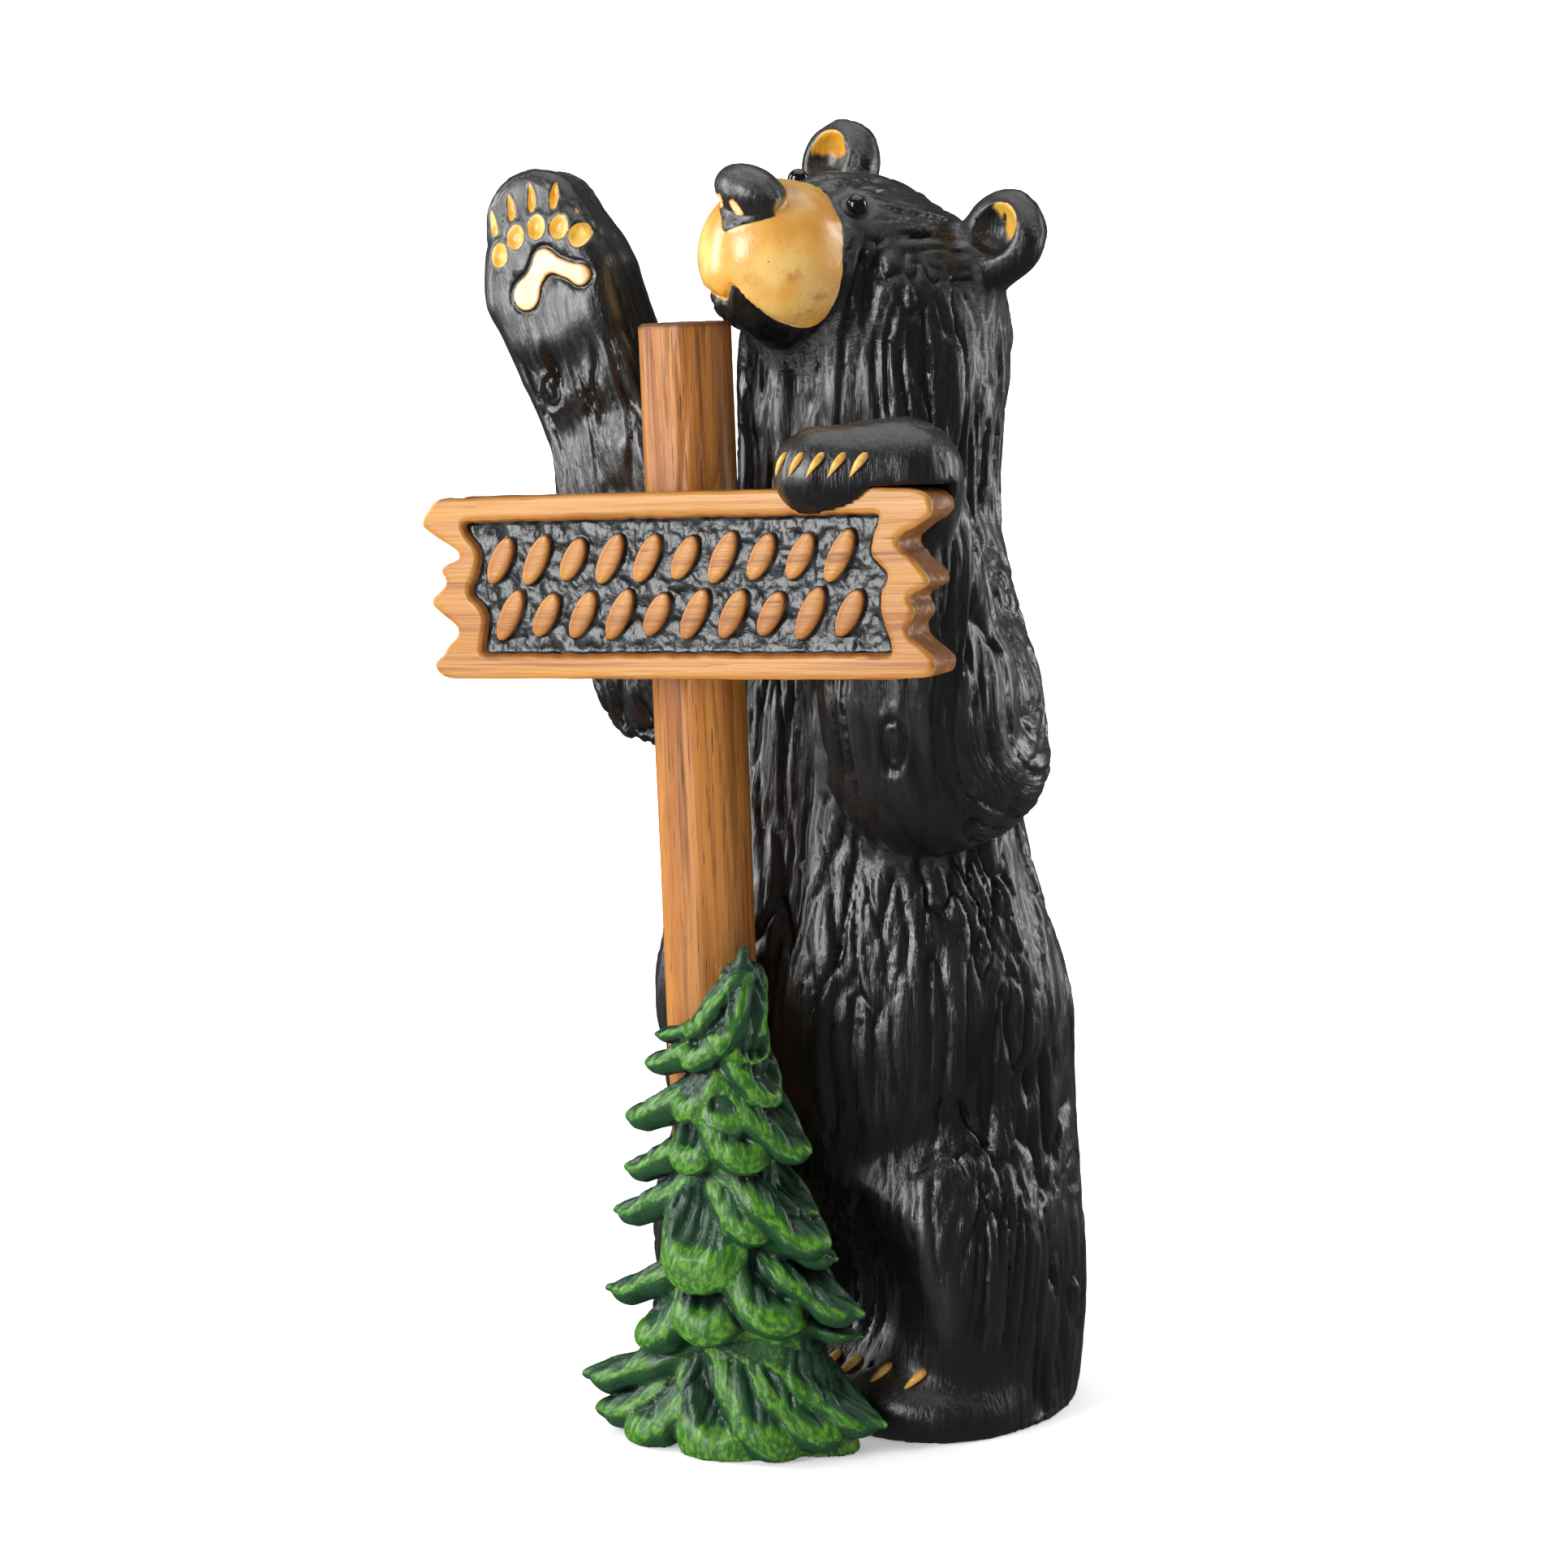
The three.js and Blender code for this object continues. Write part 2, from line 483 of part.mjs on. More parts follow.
// Merges edges, the flattest first, until the mesh has the wanted number of facets. Each vertex carries the
// sum of its facets' planes, so ridges and edges stay.
function thin(mesh, facets) {
  const p = mesh.positions;
  const tri = mesh.index;
  const vertices = p.length / 3;
  const alive = new Uint8Array(tri.length / 3).fill(1);
  const around = Array.from({ length: vertices }, () => []);
  const planes = new Float64Array(vertices * 10);
  const version = new Uint32Array(vertices);
  const normal = (a, b, c) => {
    const [ux, uy, uz] = [b[0] - a[0], b[1] - a[1], b[2] - a[2]];
    const [vx, vy, vz] = [c[0] - a[0], c[1] - a[1], c[2] - a[2]];
    return [uy * vz - uz * vy, uz * vx - ux * vz, ux * vy - uy * vx];
  };
  const point = (v) => [p[3 * v], p[3 * v + 1], p[3 * v + 2]];
  for (let t = 0; t < alive.length; t++) {
    const ids = [tri[3 * t], tri[3 * t + 1], tri[3 * t + 2]];
    const n = normal(...ids.map(point));
    const area = Math.hypot(...n);
    const [a, b, c] = n.map((value) => value / Math.max(area, 1e-12));
    const d = -(a * p[3 * ids[0]] + b * p[3 * ids[0] + 1] + c * p[3 * ids[0] + 2]);
    const terms = [a * a, a * b, a * c, a * d, b * b, b * c, b * d, c * c, c * d, d * d];
    for (const v of ids) {
      around[v].push(t);
      terms.forEach((term, i) => (planes[10 * v + i] += term * area));
    }
  }
  const error = (q, [x, y, z]) =>
    q[0] * x * x + 2 * q[1] * x * y + 2 * q[2] * x * z + 2 * q[3] * x + q[4] * y * y + 2 * q[5] * y * z +
    2 * q[6] * y + q[7] * z * z + 2 * q[8] * z + q[9];
  const meet = (u, v) => {
    const q = Array.from({ length: 10 }, (_, i) => planes[10 * u + i] + planes[10 * v + i]);
    const [a, b] = [point(u), point(v)];
    const middle = a.map((value, i) => (value + b[i]) / 2);
    const options = [middle, a, b];
    const det =
      q[0] * (q[4] * q[7] - q[5] * q[5]) - q[1] * (q[1] * q[7] - q[5] * q[2]) +
      q[2] * (q[1] * q[5] - q[4] * q[2]);
    const size = (q[0] + q[4] + q[7]) / 3;
    if (Math.abs(det) > 1e-4 * size ** 3) {
      const [r, s, t] = [-q[3], -q[6], -q[8]];
      const best = [
        (r * (q[4] * q[7] - q[5] * q[5]) - q[1] * (s * q[7] - q[5] * t) + q[2] * (s * q[5] - q[4] * t)) / det,
        (q[0] * (s * q[7] - q[5] * t) - r * (q[1] * q[7] - q[5] * q[2]) + q[2] * (q[1] * t - s * q[2])) / det,
        (q[0] * (q[4] * t - s * q[5]) - q[1] * (q[1] * t - s * q[2]) + r * (q[1] * q[5] - q[4] * q[2])) / det,
      ];
      const length = Math.hypot(a[0] - b[0], a[1] - b[1], a[2] - b[2]);
      if (Math.hypot(...best.map((value, i) => value - middle[i])) < 2 * length) options.unshift(best);
    }
    let choice = null;
    for (const at of options) {
      const cost = error(q, at);
      if (!choice || cost < choice.cost - 1e-9) choice = { cost, at };
    }
    const long = (a[0] - b[0]) ** 2 + (a[1] - b[1]) ** 2 + (a[2] - b[2]) ** 2;
    choice.cost += 1e-5 * long * size;
    return choice;
  };
  const heap = [];
  const before = (a, b) => {
    if (a.cost !== b.cost) return a.cost < b.cost;
    return a.u < b.u || (a.u === b.u && a.v < b.v);
  };
  const push = (item) => {
    let i = heap.push(item) - 1;
    while (i > 0) {
      const parent = (i - 1) >> 1;
      if (!before(heap[i], heap[parent])) break;
      [heap[i], heap[parent]] = [heap[parent], heap[i]];
      i = parent;
    }
  };
  const pop = () => {
    const top = heap[0];
    const last = heap.pop();
    if (heap.length) {
      heap[0] = last;
      let i = 0;
      for (;;) {
        let least = i;
        for (const child of [2 * i + 1, 2 * i + 2])
          if (child < heap.length && before(heap[child], heap[least])) least = child;
        if (least === i) break;
        [heap[i], heap[least]] = [heap[least], heap[i]];
        i = least;
      }
    }
    return top;
  };
  const offer = (u, v) => push({ ...meet(u, v), u, v, stamp: version[u] + version[v] });
  const neighbours = (v) => {
    const found = new Set();
    for (const t of around[v]) for (let i = 0; i < 3; i++) found.add(tri[3 * t + i]);
    found.delete(v);
    return found;
  };
  for (let t = 0; t < alive.length; t++)
    for (let i = 0; i < 3; i++) {
      const [u, v] = [tri[3 * t + i], tri[3 * t + ((i + 1) % 3)]];
      if (u < v) offer(u, v);
    }
  let left = alive.length;
  while (left > facets && heap.length) {
    const { u, v, at, stamp } = pop();
    if (stamp !== version[u] + version[v] || !around[u].length || !around[v].length) continue;
    const nearU = neighbours(u);
    if (!nearU.has(v)) continue;
    let shared = 0;
    for (const n of neighbours(v)) if (nearU.has(n)) shared++;
    if (shared !== 2) continue;
    const folds = (mine, other) => around[mine].some((t) => {
      const ids = [tri[3 * t], tri[3 * t + 1], tri[3 * t + 2]];
      if (ids.includes(other)) return false;
      const old = normal(...ids.map(point));
      if (Math.hypot(...old) < 1e-6) return false;
      const fresh = normal(...ids.map((id) => (id === mine ? at : point(id))));
      const dot = old[0] * fresh[0] + old[1] * fresh[1] + old[2] * fresh[2];
      return dot < 0.3 * Math.hypot(...old) * Math.hypot(...fresh) + 1e-9;
    });
    if (folds(u, v) || folds(v, u)) continue;
    [p[3 * u], p[3 * u + 1], p[3 * u + 2]] = at;
    for (let i = 0; i < 10; i++) planes[10 * u + i] += planes[10 * v + i];
    for (const t of around[v]) {
      const corners = [0, 1, 2].map((i) => tri[3 * t + i]);
      if (corners.includes(u)) {
        alive[t] = 0;
        left--;
        for (const c of corners) if (c !== v) around[c] = around[c].filter((other) => other !== t);
      } else {
        tri[3 * t + corners.indexOf(v)] = u;
        around[u].push(t);
      }
    }
    around[v] = [];
    version[u] += vertices;
    for (const n of neighbours(u)) offer(Math.min(u, n), Math.max(u, n));
  }
  const index = [];
  for (let t = 0; t < alive.length; t++) if (alive[t]) index.push(tri[3 * t], tri[3 * t + 1], tri[3 * t + 2]);
  return { positions: p, index };
}

// The carved form is kept inside its box. Flat cuts, such as the floor, are made afterwards.
function carved(form, low, high, pitch, facets) {
  const rim = 2 * pitch;
  const within = (value, axis) => Math.max(low[axis] + rim - value, value - high[axis] + rim);
  const field = (x, y, z) => Math.max(form(x, y, z), within(x, 0), within(y, 1), within(z, 2));
  const mesh = surface(field, low, high, pitch);
  settle(mesh, field, pitch);
  const light = thin(mesh, facets);
  const geometry = new THREE.BufferGeometry();
  geometry.setAttribute("position", new THREE.BufferAttribute(new Float32Array(light.positions), 3));
  geometry.setIndex(light.index);
  return geometry;
}

// Solids for joining and cutting.
function solid(geometry) {
  const bare = geometry.clone();
  bare.deleteAttribute("normal");
  bare.deleteAttribute("uv");
  const merged = mergeVertices(bare, 1e-4);
  const triVerts = new Uint32Array(merged.index.array);
  const vertProperties = merged.attributes.position.array;
  return new wasm.Manifold(new wasm.Mesh({ numProp: 3, vertProperties, triVerts }));
}

// Cuts leave some very short edges. The cheapest few per cent of the facets are merged away.
function geometryOf(manifold) {
  const made = manifold.getMesh();
  const mesh = { positions: Float64Array.from(made.vertProperties), index: Uint32Array.from(made.triVerts) };
  const light = thin(mesh, Math.floor(0.97 * (mesh.index.length / 3)));
  const geometry = new THREE.BufferGeometry();
  geometry.setAttribute("position", new THREE.BufferAttribute(new Float32Array(light.positions), 3));
  geometry.setIndex(light.index);
  return geometry;
}

function box(low, high) {
  const size = high.map((value, i) => value - low[i]);
  const middle = high.map((value, i) => (value + low[i]) / 2);
  return solid(new THREE.BoxGeometry(...size).translate(...middle));
}

const WIDE = 2 * BEAR_HEIGHT;
const ground = box([-WIDE, -WIDE, -WIDE], [WIDE, WIDE, 0]);

// A bead: a ball stretched along its own axes, turned to stand at a place.
function bead(radii, at, turn, around = 9, rings = 6) {
  const ball = new THREE.SphereGeometry(1, around, rings).scale(...radii);
  if (turn) ball.applyMatrix4(turn);
  return solid(ball.translate(...at));
}

function postSolid(extra) {
  const radius = POST_RADIUS + extra;
  const top = signTop + POST_ABOVE_SIGN;
  const lean = rad(POST_LEAN_DEG);
  const length = top / Math.cos(lean) + 30;
  const edge = 1.5;
  const outline = [
    [0, -30],
    [radius, -30],
    [radius, length - 30 - edge],
    [radius - edge, length - 30],
    [0, length - 30],
  ].map(([r, h]) => new THREE.Vector2(r, h));
  const shaft = new THREE.LatheGeometry(outline, 40);
  shaft.rotateX(Math.PI / 2).rotateY(-lean);
  return solid(shaft.translate(postFoot.x, postFoot.y, 0));
}

// The board's ends are splintered. Each row is a height in shares of half the board's height and a distance
// in from the end in shares of its length, walking down.
const LEFT_SPLINTERS = [[1, 0.04], [0.7, 0.001], [0.36, 0.09], [0.22, 0.038], [0.06, 0.059], [-0.16, 0.011],
  [-0.46, 0.081], [-0.84, 0.015], [-1, 0.04]];
const RIGHT_SPLINTERS = [[1, 0.056], [0.93, 0.008], [0.71, 0.001], [0.45, 0.074], [0.24, 0.04], [0, 0.004],
  [-0.13, 0.058], [-0.3, 0.039], [-0.5, 0.062], [-0.79, 0.004], [-1, 0.012]];
const LEFT_RECESS = [[1, 0.017], [0.86, 0.007], [0.43, 0.047], [-0.07, 0.009], [-0.36, 0.052], [-1, 0.032]];
const RIGHT_RECESS = [[1, 0.012], [0.42, 0.043], [0.14, 0], [-0.25, 0.028], [-0.92, 0.001], [-1, 0.009]];

function walked(leftRows, rightRows, halfLength, halfHeight) {
  const at = (side, [up, inward]) => {
    const x = halfLength - inward * SIGN_LENGTH;
    return new THREE.Vector2(side * x, up * halfHeight);
  };
  const right = rightRows.map((row) => at(1, row));
  const left = leftRows.map((row) => at(-1, row)).reverse();
  return new THREE.Shape([...right, ...left]);
}

function signOutline() {
  return walked(LEFT_SPLINTERS, RIGHT_SPLINTERS, SIGN_LENGTH / 2, SIGN_HEIGHT / 2);
}

function recessOutline() {
  const shorter = SIGN_FRAME * 2.1;
  return walked(LEFT_RECESS, RIGHT_RECESS, SIGN_LENGTH / 2 - shorter, SIGN_HEIGHT / 2 - SIGN_FRAME);
}

function slab(shape, front, back) {
  const depth = back - front;
  return new THREE.ExtrudeGeometry(shape, { depth, bevelEnabled: false, curveSegments: 5 })
    .rotateX(Math.PI / 2)
    .translate(0, back, 0);
}

// Rows of shallow strokes stand in the sunk field: plain leaf shapes, all leaning one way.
function strokes() {
  const wide = SIGN_LENGTH * 0.73;
  const tall = SIGN_HEIGHT * 0.6;
  const rows = 2;
  const perRow = 10;
  const pitch = wide / perRow;
  const made = [];
  for (let row = 0; row < rows; row++)
    for (let i = 0; i < perRow; i++) {
      const x = pitch * (i + 0.4 + 0.2 * row) - wide / 2;
      const z = tall * (0.25 - 0.5 * row);
      const half = tall * (0.21 + 0.02 * Math.sin(2.3 * i + 1.7 * row));
      const thick = pitch * 0.46;
      const lean = half * 0.45;
      const shape = new THREE.Shape();
      shape.moveTo(x - lean, z - half);
      shape.quadraticCurveTo(x + thick, z - half * 0.1, x + lean, z + half);
      shape.quadraticCurveTo(x - thick, z + half * 0.1, x - lean, z - half);
      made.push(shape);
    }
  return made;
}

function placeOnPost(geometry) {
  const x = postX(signMiddle) + 0.0465 * SIGN_LENGTH;
  return geometry.rotateY(-rad(POST_LEAN_DEG)).translate(x, 0, signMiddle);
}

function signSolid() {
  const blank = solid(placeOnPost(slab(signOutline(), signFront, signBack)));
  const floor = signFront + SIGN_RECESS;
  const pocket = solid(placeOnPost(slab(recessOutline(), signFront - 5, floor)));
  let board = blank.subtract(pocket);
  for (const shape of strokes())
    board = board.add(solid(placeOnPost(slab(shape, floor - STROKE_RISE, floor + 1))));
  return board;
}

function signEnvelope() {
  const half = SIGN_LENGTH / 2 + FIT_GAP;
  const tall = SIGN_HEIGHT / 2 + FIT_GAP;
  const shape = new THREE.Shape([[-half, -tall], [half, -tall], [half, tall], [-half, tall]].map(
    ([x, z]) => new THREE.Vector2(x, z)));
  return solid(placeOnPost(slab(shape, signFront - FIT_GAP, signBack + FIT_GAP)));
}

const scaled = (values) => values.map((value) => value * FORM);

// A turn that lays a bead's long X axis along one direction and its thin Z axis along another.
function facing(along, out) {
  const x = new THREE.Vector3(...along).normalize();
  const z = new THREE.Vector3(...out);
  z.addScaledVector(x, -z.dot(x)).normalize();
  return new THREE.Matrix4().makeBasis(x, new THREE.Vector3().crossVectors(z, x), z);
}

// Where a line of sight from in front meets the bear, at a given X and Z.
function frontOf(field, x, z) {
  let y = -200;
  for (let i = 0; i < 200 && field(x, y, z) > 0.02; i++) y += Math.max(field(x, y, z) * 0.6, 0.02);
  return [x, y, z];
}

const CLAWS = [0, 1, 2, 3, 4];

// Sunk toes and claws on the raised palm, on two arcs round the middle of the pad.
const PALM = [-130.5, 511];
const palmPoint = (angle, radius) => [PALM[0] + Math.sin(angle) * radius, PALM[1] + Math.cos(angle) * radius];

function palmCuts(field) {
  const cuts = [];
  for (const i of CLAWS) {
    const toe = frontOf(field, ...palmPoint(rad(-54 + 21.5 * i), 31.5));
    cuts.push(bead(scaled([4.3, 2.6, 5.4]), scaled(toe), null, 8, 4));
    const claw = frontOf(field, ...palmPoint(rad(-38 + 16.5 * i), 45.5));
    cuts.push(bead(scaled([1.9, 2.2, 6]), scaled(claw), null, 6, 4));
  }
  return cuts;
}

// The big pad has three lobes and stands inside a groove.
const PAD_LOBES = [[-10.5, 0.5, 7], [-1.5, 16, 3.9], [17.5, 9.5, 4.3]];

function padField(x, z) {
  const lobes = PAD_LOBES.map(([lx, lz, r]) => Math.hypot(x - PALM[0] - lx, z - PALM[1] - lz) - r);
  const [a, b, c] = PAD_LOBES;
  const bar = (from, to, width) => {
    const [ux, uz] = [to[0] - from[0], to[1] - from[1]];
    const [dx, dz] = [x - PALM[0] - from[0], z - PALM[1] - from[1]];
    const t = clamp((dx * ux + dz * uz) / (ux * ux + uz * uz), 0, 1);
    return Math.hypot(dx - t * ux, dz - t * uz) - width;
  };
  return join(join(join(lobes[0], lobes[1], 3), lobes[2], 3), join(bar(a, b, 4.4), bar(b, c, 3.6), 4), 3);
}

// The pad's outline at a distance outside its edge, found along rays from the middle of its bars.
function padOutline(outside) {
  const turns = 22;
  const middle = [PALM[0] - 2.5, PALM[1] + 10.5];
  const points = [];
  for (let i = 0; i < turns; i++) {
    const angle = (i / turns) * 2 * Math.PI;
    const onRay = (radius) => [middle[0] + Math.sin(angle) * radius, middle[1] + Math.cos(angle) * radius];
    let radius = 30;
    while (radius > 1 && padField(...onRay(radius)) > outside) radius -= 0.1;
    points.push(new THREE.Vector2(...onRay(radius)).multiplyScalar(FORM));
  }
  return points;
}

function padGroove() {
  const ring = new THREE.Shape(padOutline(2.2).reverse());
  ring.holes.push(new THREE.Path(padOutline(0)));
  return solid(slab(ring, (PALM_FACE - 8) * FORM, (PALM_FACE + 1.6) * FORM));
}

// Claws of each foot, by their distance from the middle of the figure.
const FOOT_CLAWS = [5, 16.5, 34, 52];

function clawBeads(field) {
  const beads = [];
  for (const i of CLAWS) {
    const onHand = frontOf(field, HAND_CLAWS.from + HAND_CLAWS.pitch * i, SIGN_TOP + HAND_CLAWS.above);
    const handTurn = facing([0.3, 0, 1], [0, -1, 0]);
    beads.push(bead(scaled([6.4, 1.9, 1.9]), scaled(onHand), handTurn, 6, 4));
  }
  for (const x of FOOT_CLAWS)
    for (const side of [-1, 1]) {
      const onFoot = frontOf(field, side * x + 2, 26.5);
      const footTurn = facing([0.5 * side, 0.3, 1], [0, -1, 0.2]);
      beads.push(bead(scaled([7, 2.4, 2.4]), scaled(onFoot), footTurn, 6, 4));
    }
  return beads;
}

function eyeBeads() {
  const radius = EYE_DIAMETER / 2;
  const places = [-1, 1].map((side) => headPoint(43.5, 23.5, 19 * side).toArray());
  return places.map((at) => bead([radius, radius, radius], scaled(at)));
}

function bearSolid() {
  const field = bearField();
  const unit = (x, y, z) => field(x / FORM, y / FORM, z / FORM) * FORM;
  const [low, high] = [scaled([-200, -190, -24]), scaled([150, 110, 650])];
  let bear = solid(carved(unit, low, high, BEAR_PITCH, BEAR_FACETS));
  for (const added of [...eyeBeads(), ...clawBeads(field)]) bear = bear.add(added);
  for (const sunk of [...palmCuts(field), padGroove()]) bear = bear.subtract(sunk);
  return bear;
}

function material(colour, roughness) {
  return new THREE.MeshStandardMaterial({ color: colour, roughness, metalness: 0 });
}

function piece(name, manifold, look) {
  const mesh = new THREE.Mesh(geometryOf(manifold), look);
  mesh.name = name;
  return mesh;
}

function treeSolid() {
  const low = [postFoot.x - TREE_WIDTH * 0.75, treeMiddle(0.5) - TREE_DEPTH * 1.5, -12];
  const high = [postFoot.x + TREE_WIDTH * 0.75, treeBack + 12, TREE_HEIGHT * 1.1];
  const whole = solid(carved(treeField(), low, high, TREE_PITCH, TREE_FACETS));
  const behind = box([-WIDE, treeBack, -WIDE], [WIDE, WIDE, WIDE]);
  return whole.subtract(behind).subtract(ground).subtract(postSolid(FIT_GAP));
}

const figure = new THREE.Group();
figure.name = "bear_figurine";
const sign = signSolid();
const bear = bearSolid().subtract(ground).subtract(postSolid(FIT_GAP)).subtract(signEnvelope());
figure.add(piece("bear", bear, material(0x16171a, 0.38)));
figure.add(piece("sign_post", postSolid(0).subtract(ground), material(0x9a6534, 0.6)));
figure.add(piece("sign_board", sign, material(0xc98b4e, 0.55)));
figure.add(piece("pine_tree", treeSolid(), material(0x2c5a38, 0.6)));

export default figure;
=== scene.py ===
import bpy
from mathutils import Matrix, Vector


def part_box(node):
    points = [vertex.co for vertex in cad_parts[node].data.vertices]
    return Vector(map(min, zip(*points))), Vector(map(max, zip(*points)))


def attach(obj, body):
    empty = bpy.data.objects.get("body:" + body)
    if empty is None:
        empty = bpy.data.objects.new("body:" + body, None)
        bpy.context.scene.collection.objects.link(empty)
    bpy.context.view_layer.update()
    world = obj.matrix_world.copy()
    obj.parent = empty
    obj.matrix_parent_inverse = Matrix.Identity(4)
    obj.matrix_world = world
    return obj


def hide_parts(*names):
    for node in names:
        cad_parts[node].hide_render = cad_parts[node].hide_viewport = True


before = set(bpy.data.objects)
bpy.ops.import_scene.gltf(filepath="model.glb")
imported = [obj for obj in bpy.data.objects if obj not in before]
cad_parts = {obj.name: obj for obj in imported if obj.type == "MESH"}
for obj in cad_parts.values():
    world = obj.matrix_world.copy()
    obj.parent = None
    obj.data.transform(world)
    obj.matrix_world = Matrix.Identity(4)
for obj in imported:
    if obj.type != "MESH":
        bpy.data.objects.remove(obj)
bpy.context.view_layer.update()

from concurrent.futures import ThreadPoolExecutor
from math import cos, pi, radians, sin, tan

import bpy
import numpy as np
from mathutils import Vector

# A standing bear that waves with its right paw and rests the left one on a sign board. The board is fixed
# to a round post, and a small pine tree stands in front of the post. Lengths are millimetres until a mesh
# is made.
MM = 0.001

# Sizes of the real object, as in the solids.
POST_RADIUS = 21
POST_TOP = 499
POST_LEAN = radians(2.5)
POST_EDGE = 1.5
SIGN_LENGTH = 253
SIGN_HEIGHT = 80.5
SIGN_THICKNESS = 25
SIGN_FRAME = 9.5
SIGN_RECESS = 4.5
STROKE_RISE = 3.5
SIGN_TOP = 427
TREE_HEIGHT = 228
TREE_WIDTH = 156
TREE_DEPTH = 32
BELLY_FRONT = 80.5
FOOT_FRONT = 86
EYE_RADIUS = 4.9
FIT_GAP = 0.3

POST_FOOT = (-25, -BELLY_FRONT - FIT_GAP - POST_RADIUS)
SIGN_MIDDLE = SIGN_TOP - SIGN_HEIGHT / 2
SIGN_BACK = POST_FOOT[1] - POST_RADIUS - FIT_GAP
SIGN_FRONT = SIGN_BACK - SIGN_THICKNESS
TREE_BACK = -FOOT_FRONT - 1.5
BOARD_X = POST_FOOT[0] - SIGN_MIDDLE * tan(POST_LEAN) + 0.0465 * SIGN_LENGTH

# Pitch of the lattices that find the carved surfaces, and the most triangles of each piece.
PITCH = 1.6
FINE_PITCH = 1.1
BEAR_TRIANGLES = 195000
TREE_TRIANGLES = 150000
SIGN_TRIANGLES = 110000


def unit(v):
    return v / np.linalg.norm(v)


def length(v):
    return np.sqrt(np.einsum("ij,ij->i", v, v))


# Fields: the distance from points to a surface, negative inside. Two fields join or cut with a rounded seam.
def join(a, b, blend):
    near = np.maximum(blend - np.abs(a - b), 0) / blend
    return np.minimum(a, b) - near * near * blend / 4


def cut(a, b, blend):
    return -join(-a, b, blend)


def ellipsoid(p, centre, radii):
    q = (p - np.asarray(centre, float)) / np.asarray(radii, float)
    share = length(q)
    return share * (share - 1) / np.maximum(length(q / np.asarray(radii, float)), 1e-9)


def limb(p, points, radii, blend):
    """Round cones along a line of points, each point with its own radius."""
    best = None
    for a, b, start, end in zip(points, points[1:], radii, radii[1:]):
        a = np.asarray(a, float)
        along = np.asarray(b, float) - a
        q = p - a
        t = np.clip(q @ along / (along @ along), 0, 1)
        d = length(q - t[:, None] * along) - start - (end - start) * t
        best = d if best is None else join(best, d, blend)
    return best


def paddle(p, points, radii, halves, corner, blend):
    """A flat limb: circles along a line in the XZ plane, each swept to its own half thickness along Y."""
    best = None
    flat = p[:, [0, 2]]
    for i in range(1, len(points)):
        a = np.asarray(points[i - 1], float)
        b = np.asarray(points[i], float)
        along = (b - a)[[0, 2]]
        q = flat - a[[0, 2]]
        t = np.clip(q @ along / (along @ along), 0, 1)
        plan = length(q - t[:, None] * along) - radii[i - 1] - (radii[i] - radii[i - 1]) * t + corner
        middle = a[1] + (b[1] - a[1]) * t
        deep = np.abs(p[:, 1] - middle) - halves[i - 1] - (halves[i] - halves[i - 1]) * t + corner
        outside = np.hypot(np.maximum(plan, 0), np.maximum(deep, 0))
        d = np.minimum(np.maximum(plan, deep), 0) + outside - corner
        best = d if best is None else join(best, d, blend)
    return best


def between(rows, height):
    """A smooth value between rows of [height, value, value, ...]."""
    table = np.asarray(rows, float)
    heights, values = table[:, 0], table[:, 1:]
    b = np.clip(np.searchsorted(heights, height, side="left"), 1, len(heights) - 1)
    a = b - 1
    before = np.maximum(b - 2, 0)
    after = np.minimum(b + 1, len(heights) - 1)
    span = (heights[b] - heights[a])[:, None]
    t = np.clip((height - heights[a])[:, None] / span, 0, 1)
    leave = (values[b] - values[before]) / (heights[b] - heights[before])[:, None] * span
    arrive = (values[after] - values[a]) / (heights[after] - heights[a])[:, None] * span
    cubic = 2 * t**3 - 3 * t**2
    turn = (t**3 - 2 * t**2 + t) * leave + (t**3 - t**2) * arrive
    return values[a] * (1 + cubic) - values[b] * cubic + turn


def trunk(p, rows):
    """An upright body of elliptical sections: rows of [height, centre x, centre y, radius x, radius y]."""
    cx, cy, rx, ry = between(rows, p[:, 2]).T
    u, v = (p[:, 0] - cx) / rx, (p[:, 1] - cy) / ry
    share = np.hypot(u, v)
    side = share * (share - 1) / np.maximum(np.hypot(u / rx, v / ry), 1e-9)
    return np.maximum(side, np.maximum(p[:, 2] - rows[-1][0], rows[0][0] - p[:, 2]))


def local(p, low, high, field, far=60.0):
    """The field inside a box, and a large distance outside it, where that part can't reach."""
    inside = np.all((p > low) & (p < high), axis=1)
    value = np.full(len(p), far)
    if inside.any():
        value[inside] = field(p[inside])
    return value


# Gradient noise, about -1 to 1.
SLOPES = np.random.default_rng(11).uniform(-1, 1, (4096, 3))


def noise(p, seed):
    cell = np.floor(p).astype(np.int64)
    t = p - cell
    fade = t**3 * (t * (t * 6 - 15) + 10)
    total = np.zeros(len(p))
    for corner in range(8):
        step = np.array([corner & 1, corner >> 1 & 1, corner >> 2])
        at = cell + step
        mixed = (at[:, 0] * 73856093) ^ (at[:, 1] * 19349663) ^ (at[:, 2] * 83492791) ^ (seed * 7919)
        slope = SLOPES[(mixed ^ (mixed >> 9)) & 4095]
        weight = np.prod(np.where(step == 1, fade, 1 - fade), axis=1)
        total += weight * np.einsum("ij,ij->i", slope, t - step)
    return total * 1.5


def smooth(low, high, value):
    t = np.clip((value - low) / (high - low), 0, 1)
    return t * t * (3 - 2 * t)


# Lattices and surfaces.
def steps(*stops):
    """Places along an axis: (start, pitch) pairs and the end."""
    places = []
    for (start, pitch), following in zip(stops[:-1], stops[1:]):
        end = following[0] if isinstance(following, tuple) else following
        count = max(int(round((end - start) / pitch)), 1)
        places.extend(start + (end - start) * np.arange(count) / count)
    places.append(stops[-1])
    return np.array(places, float)


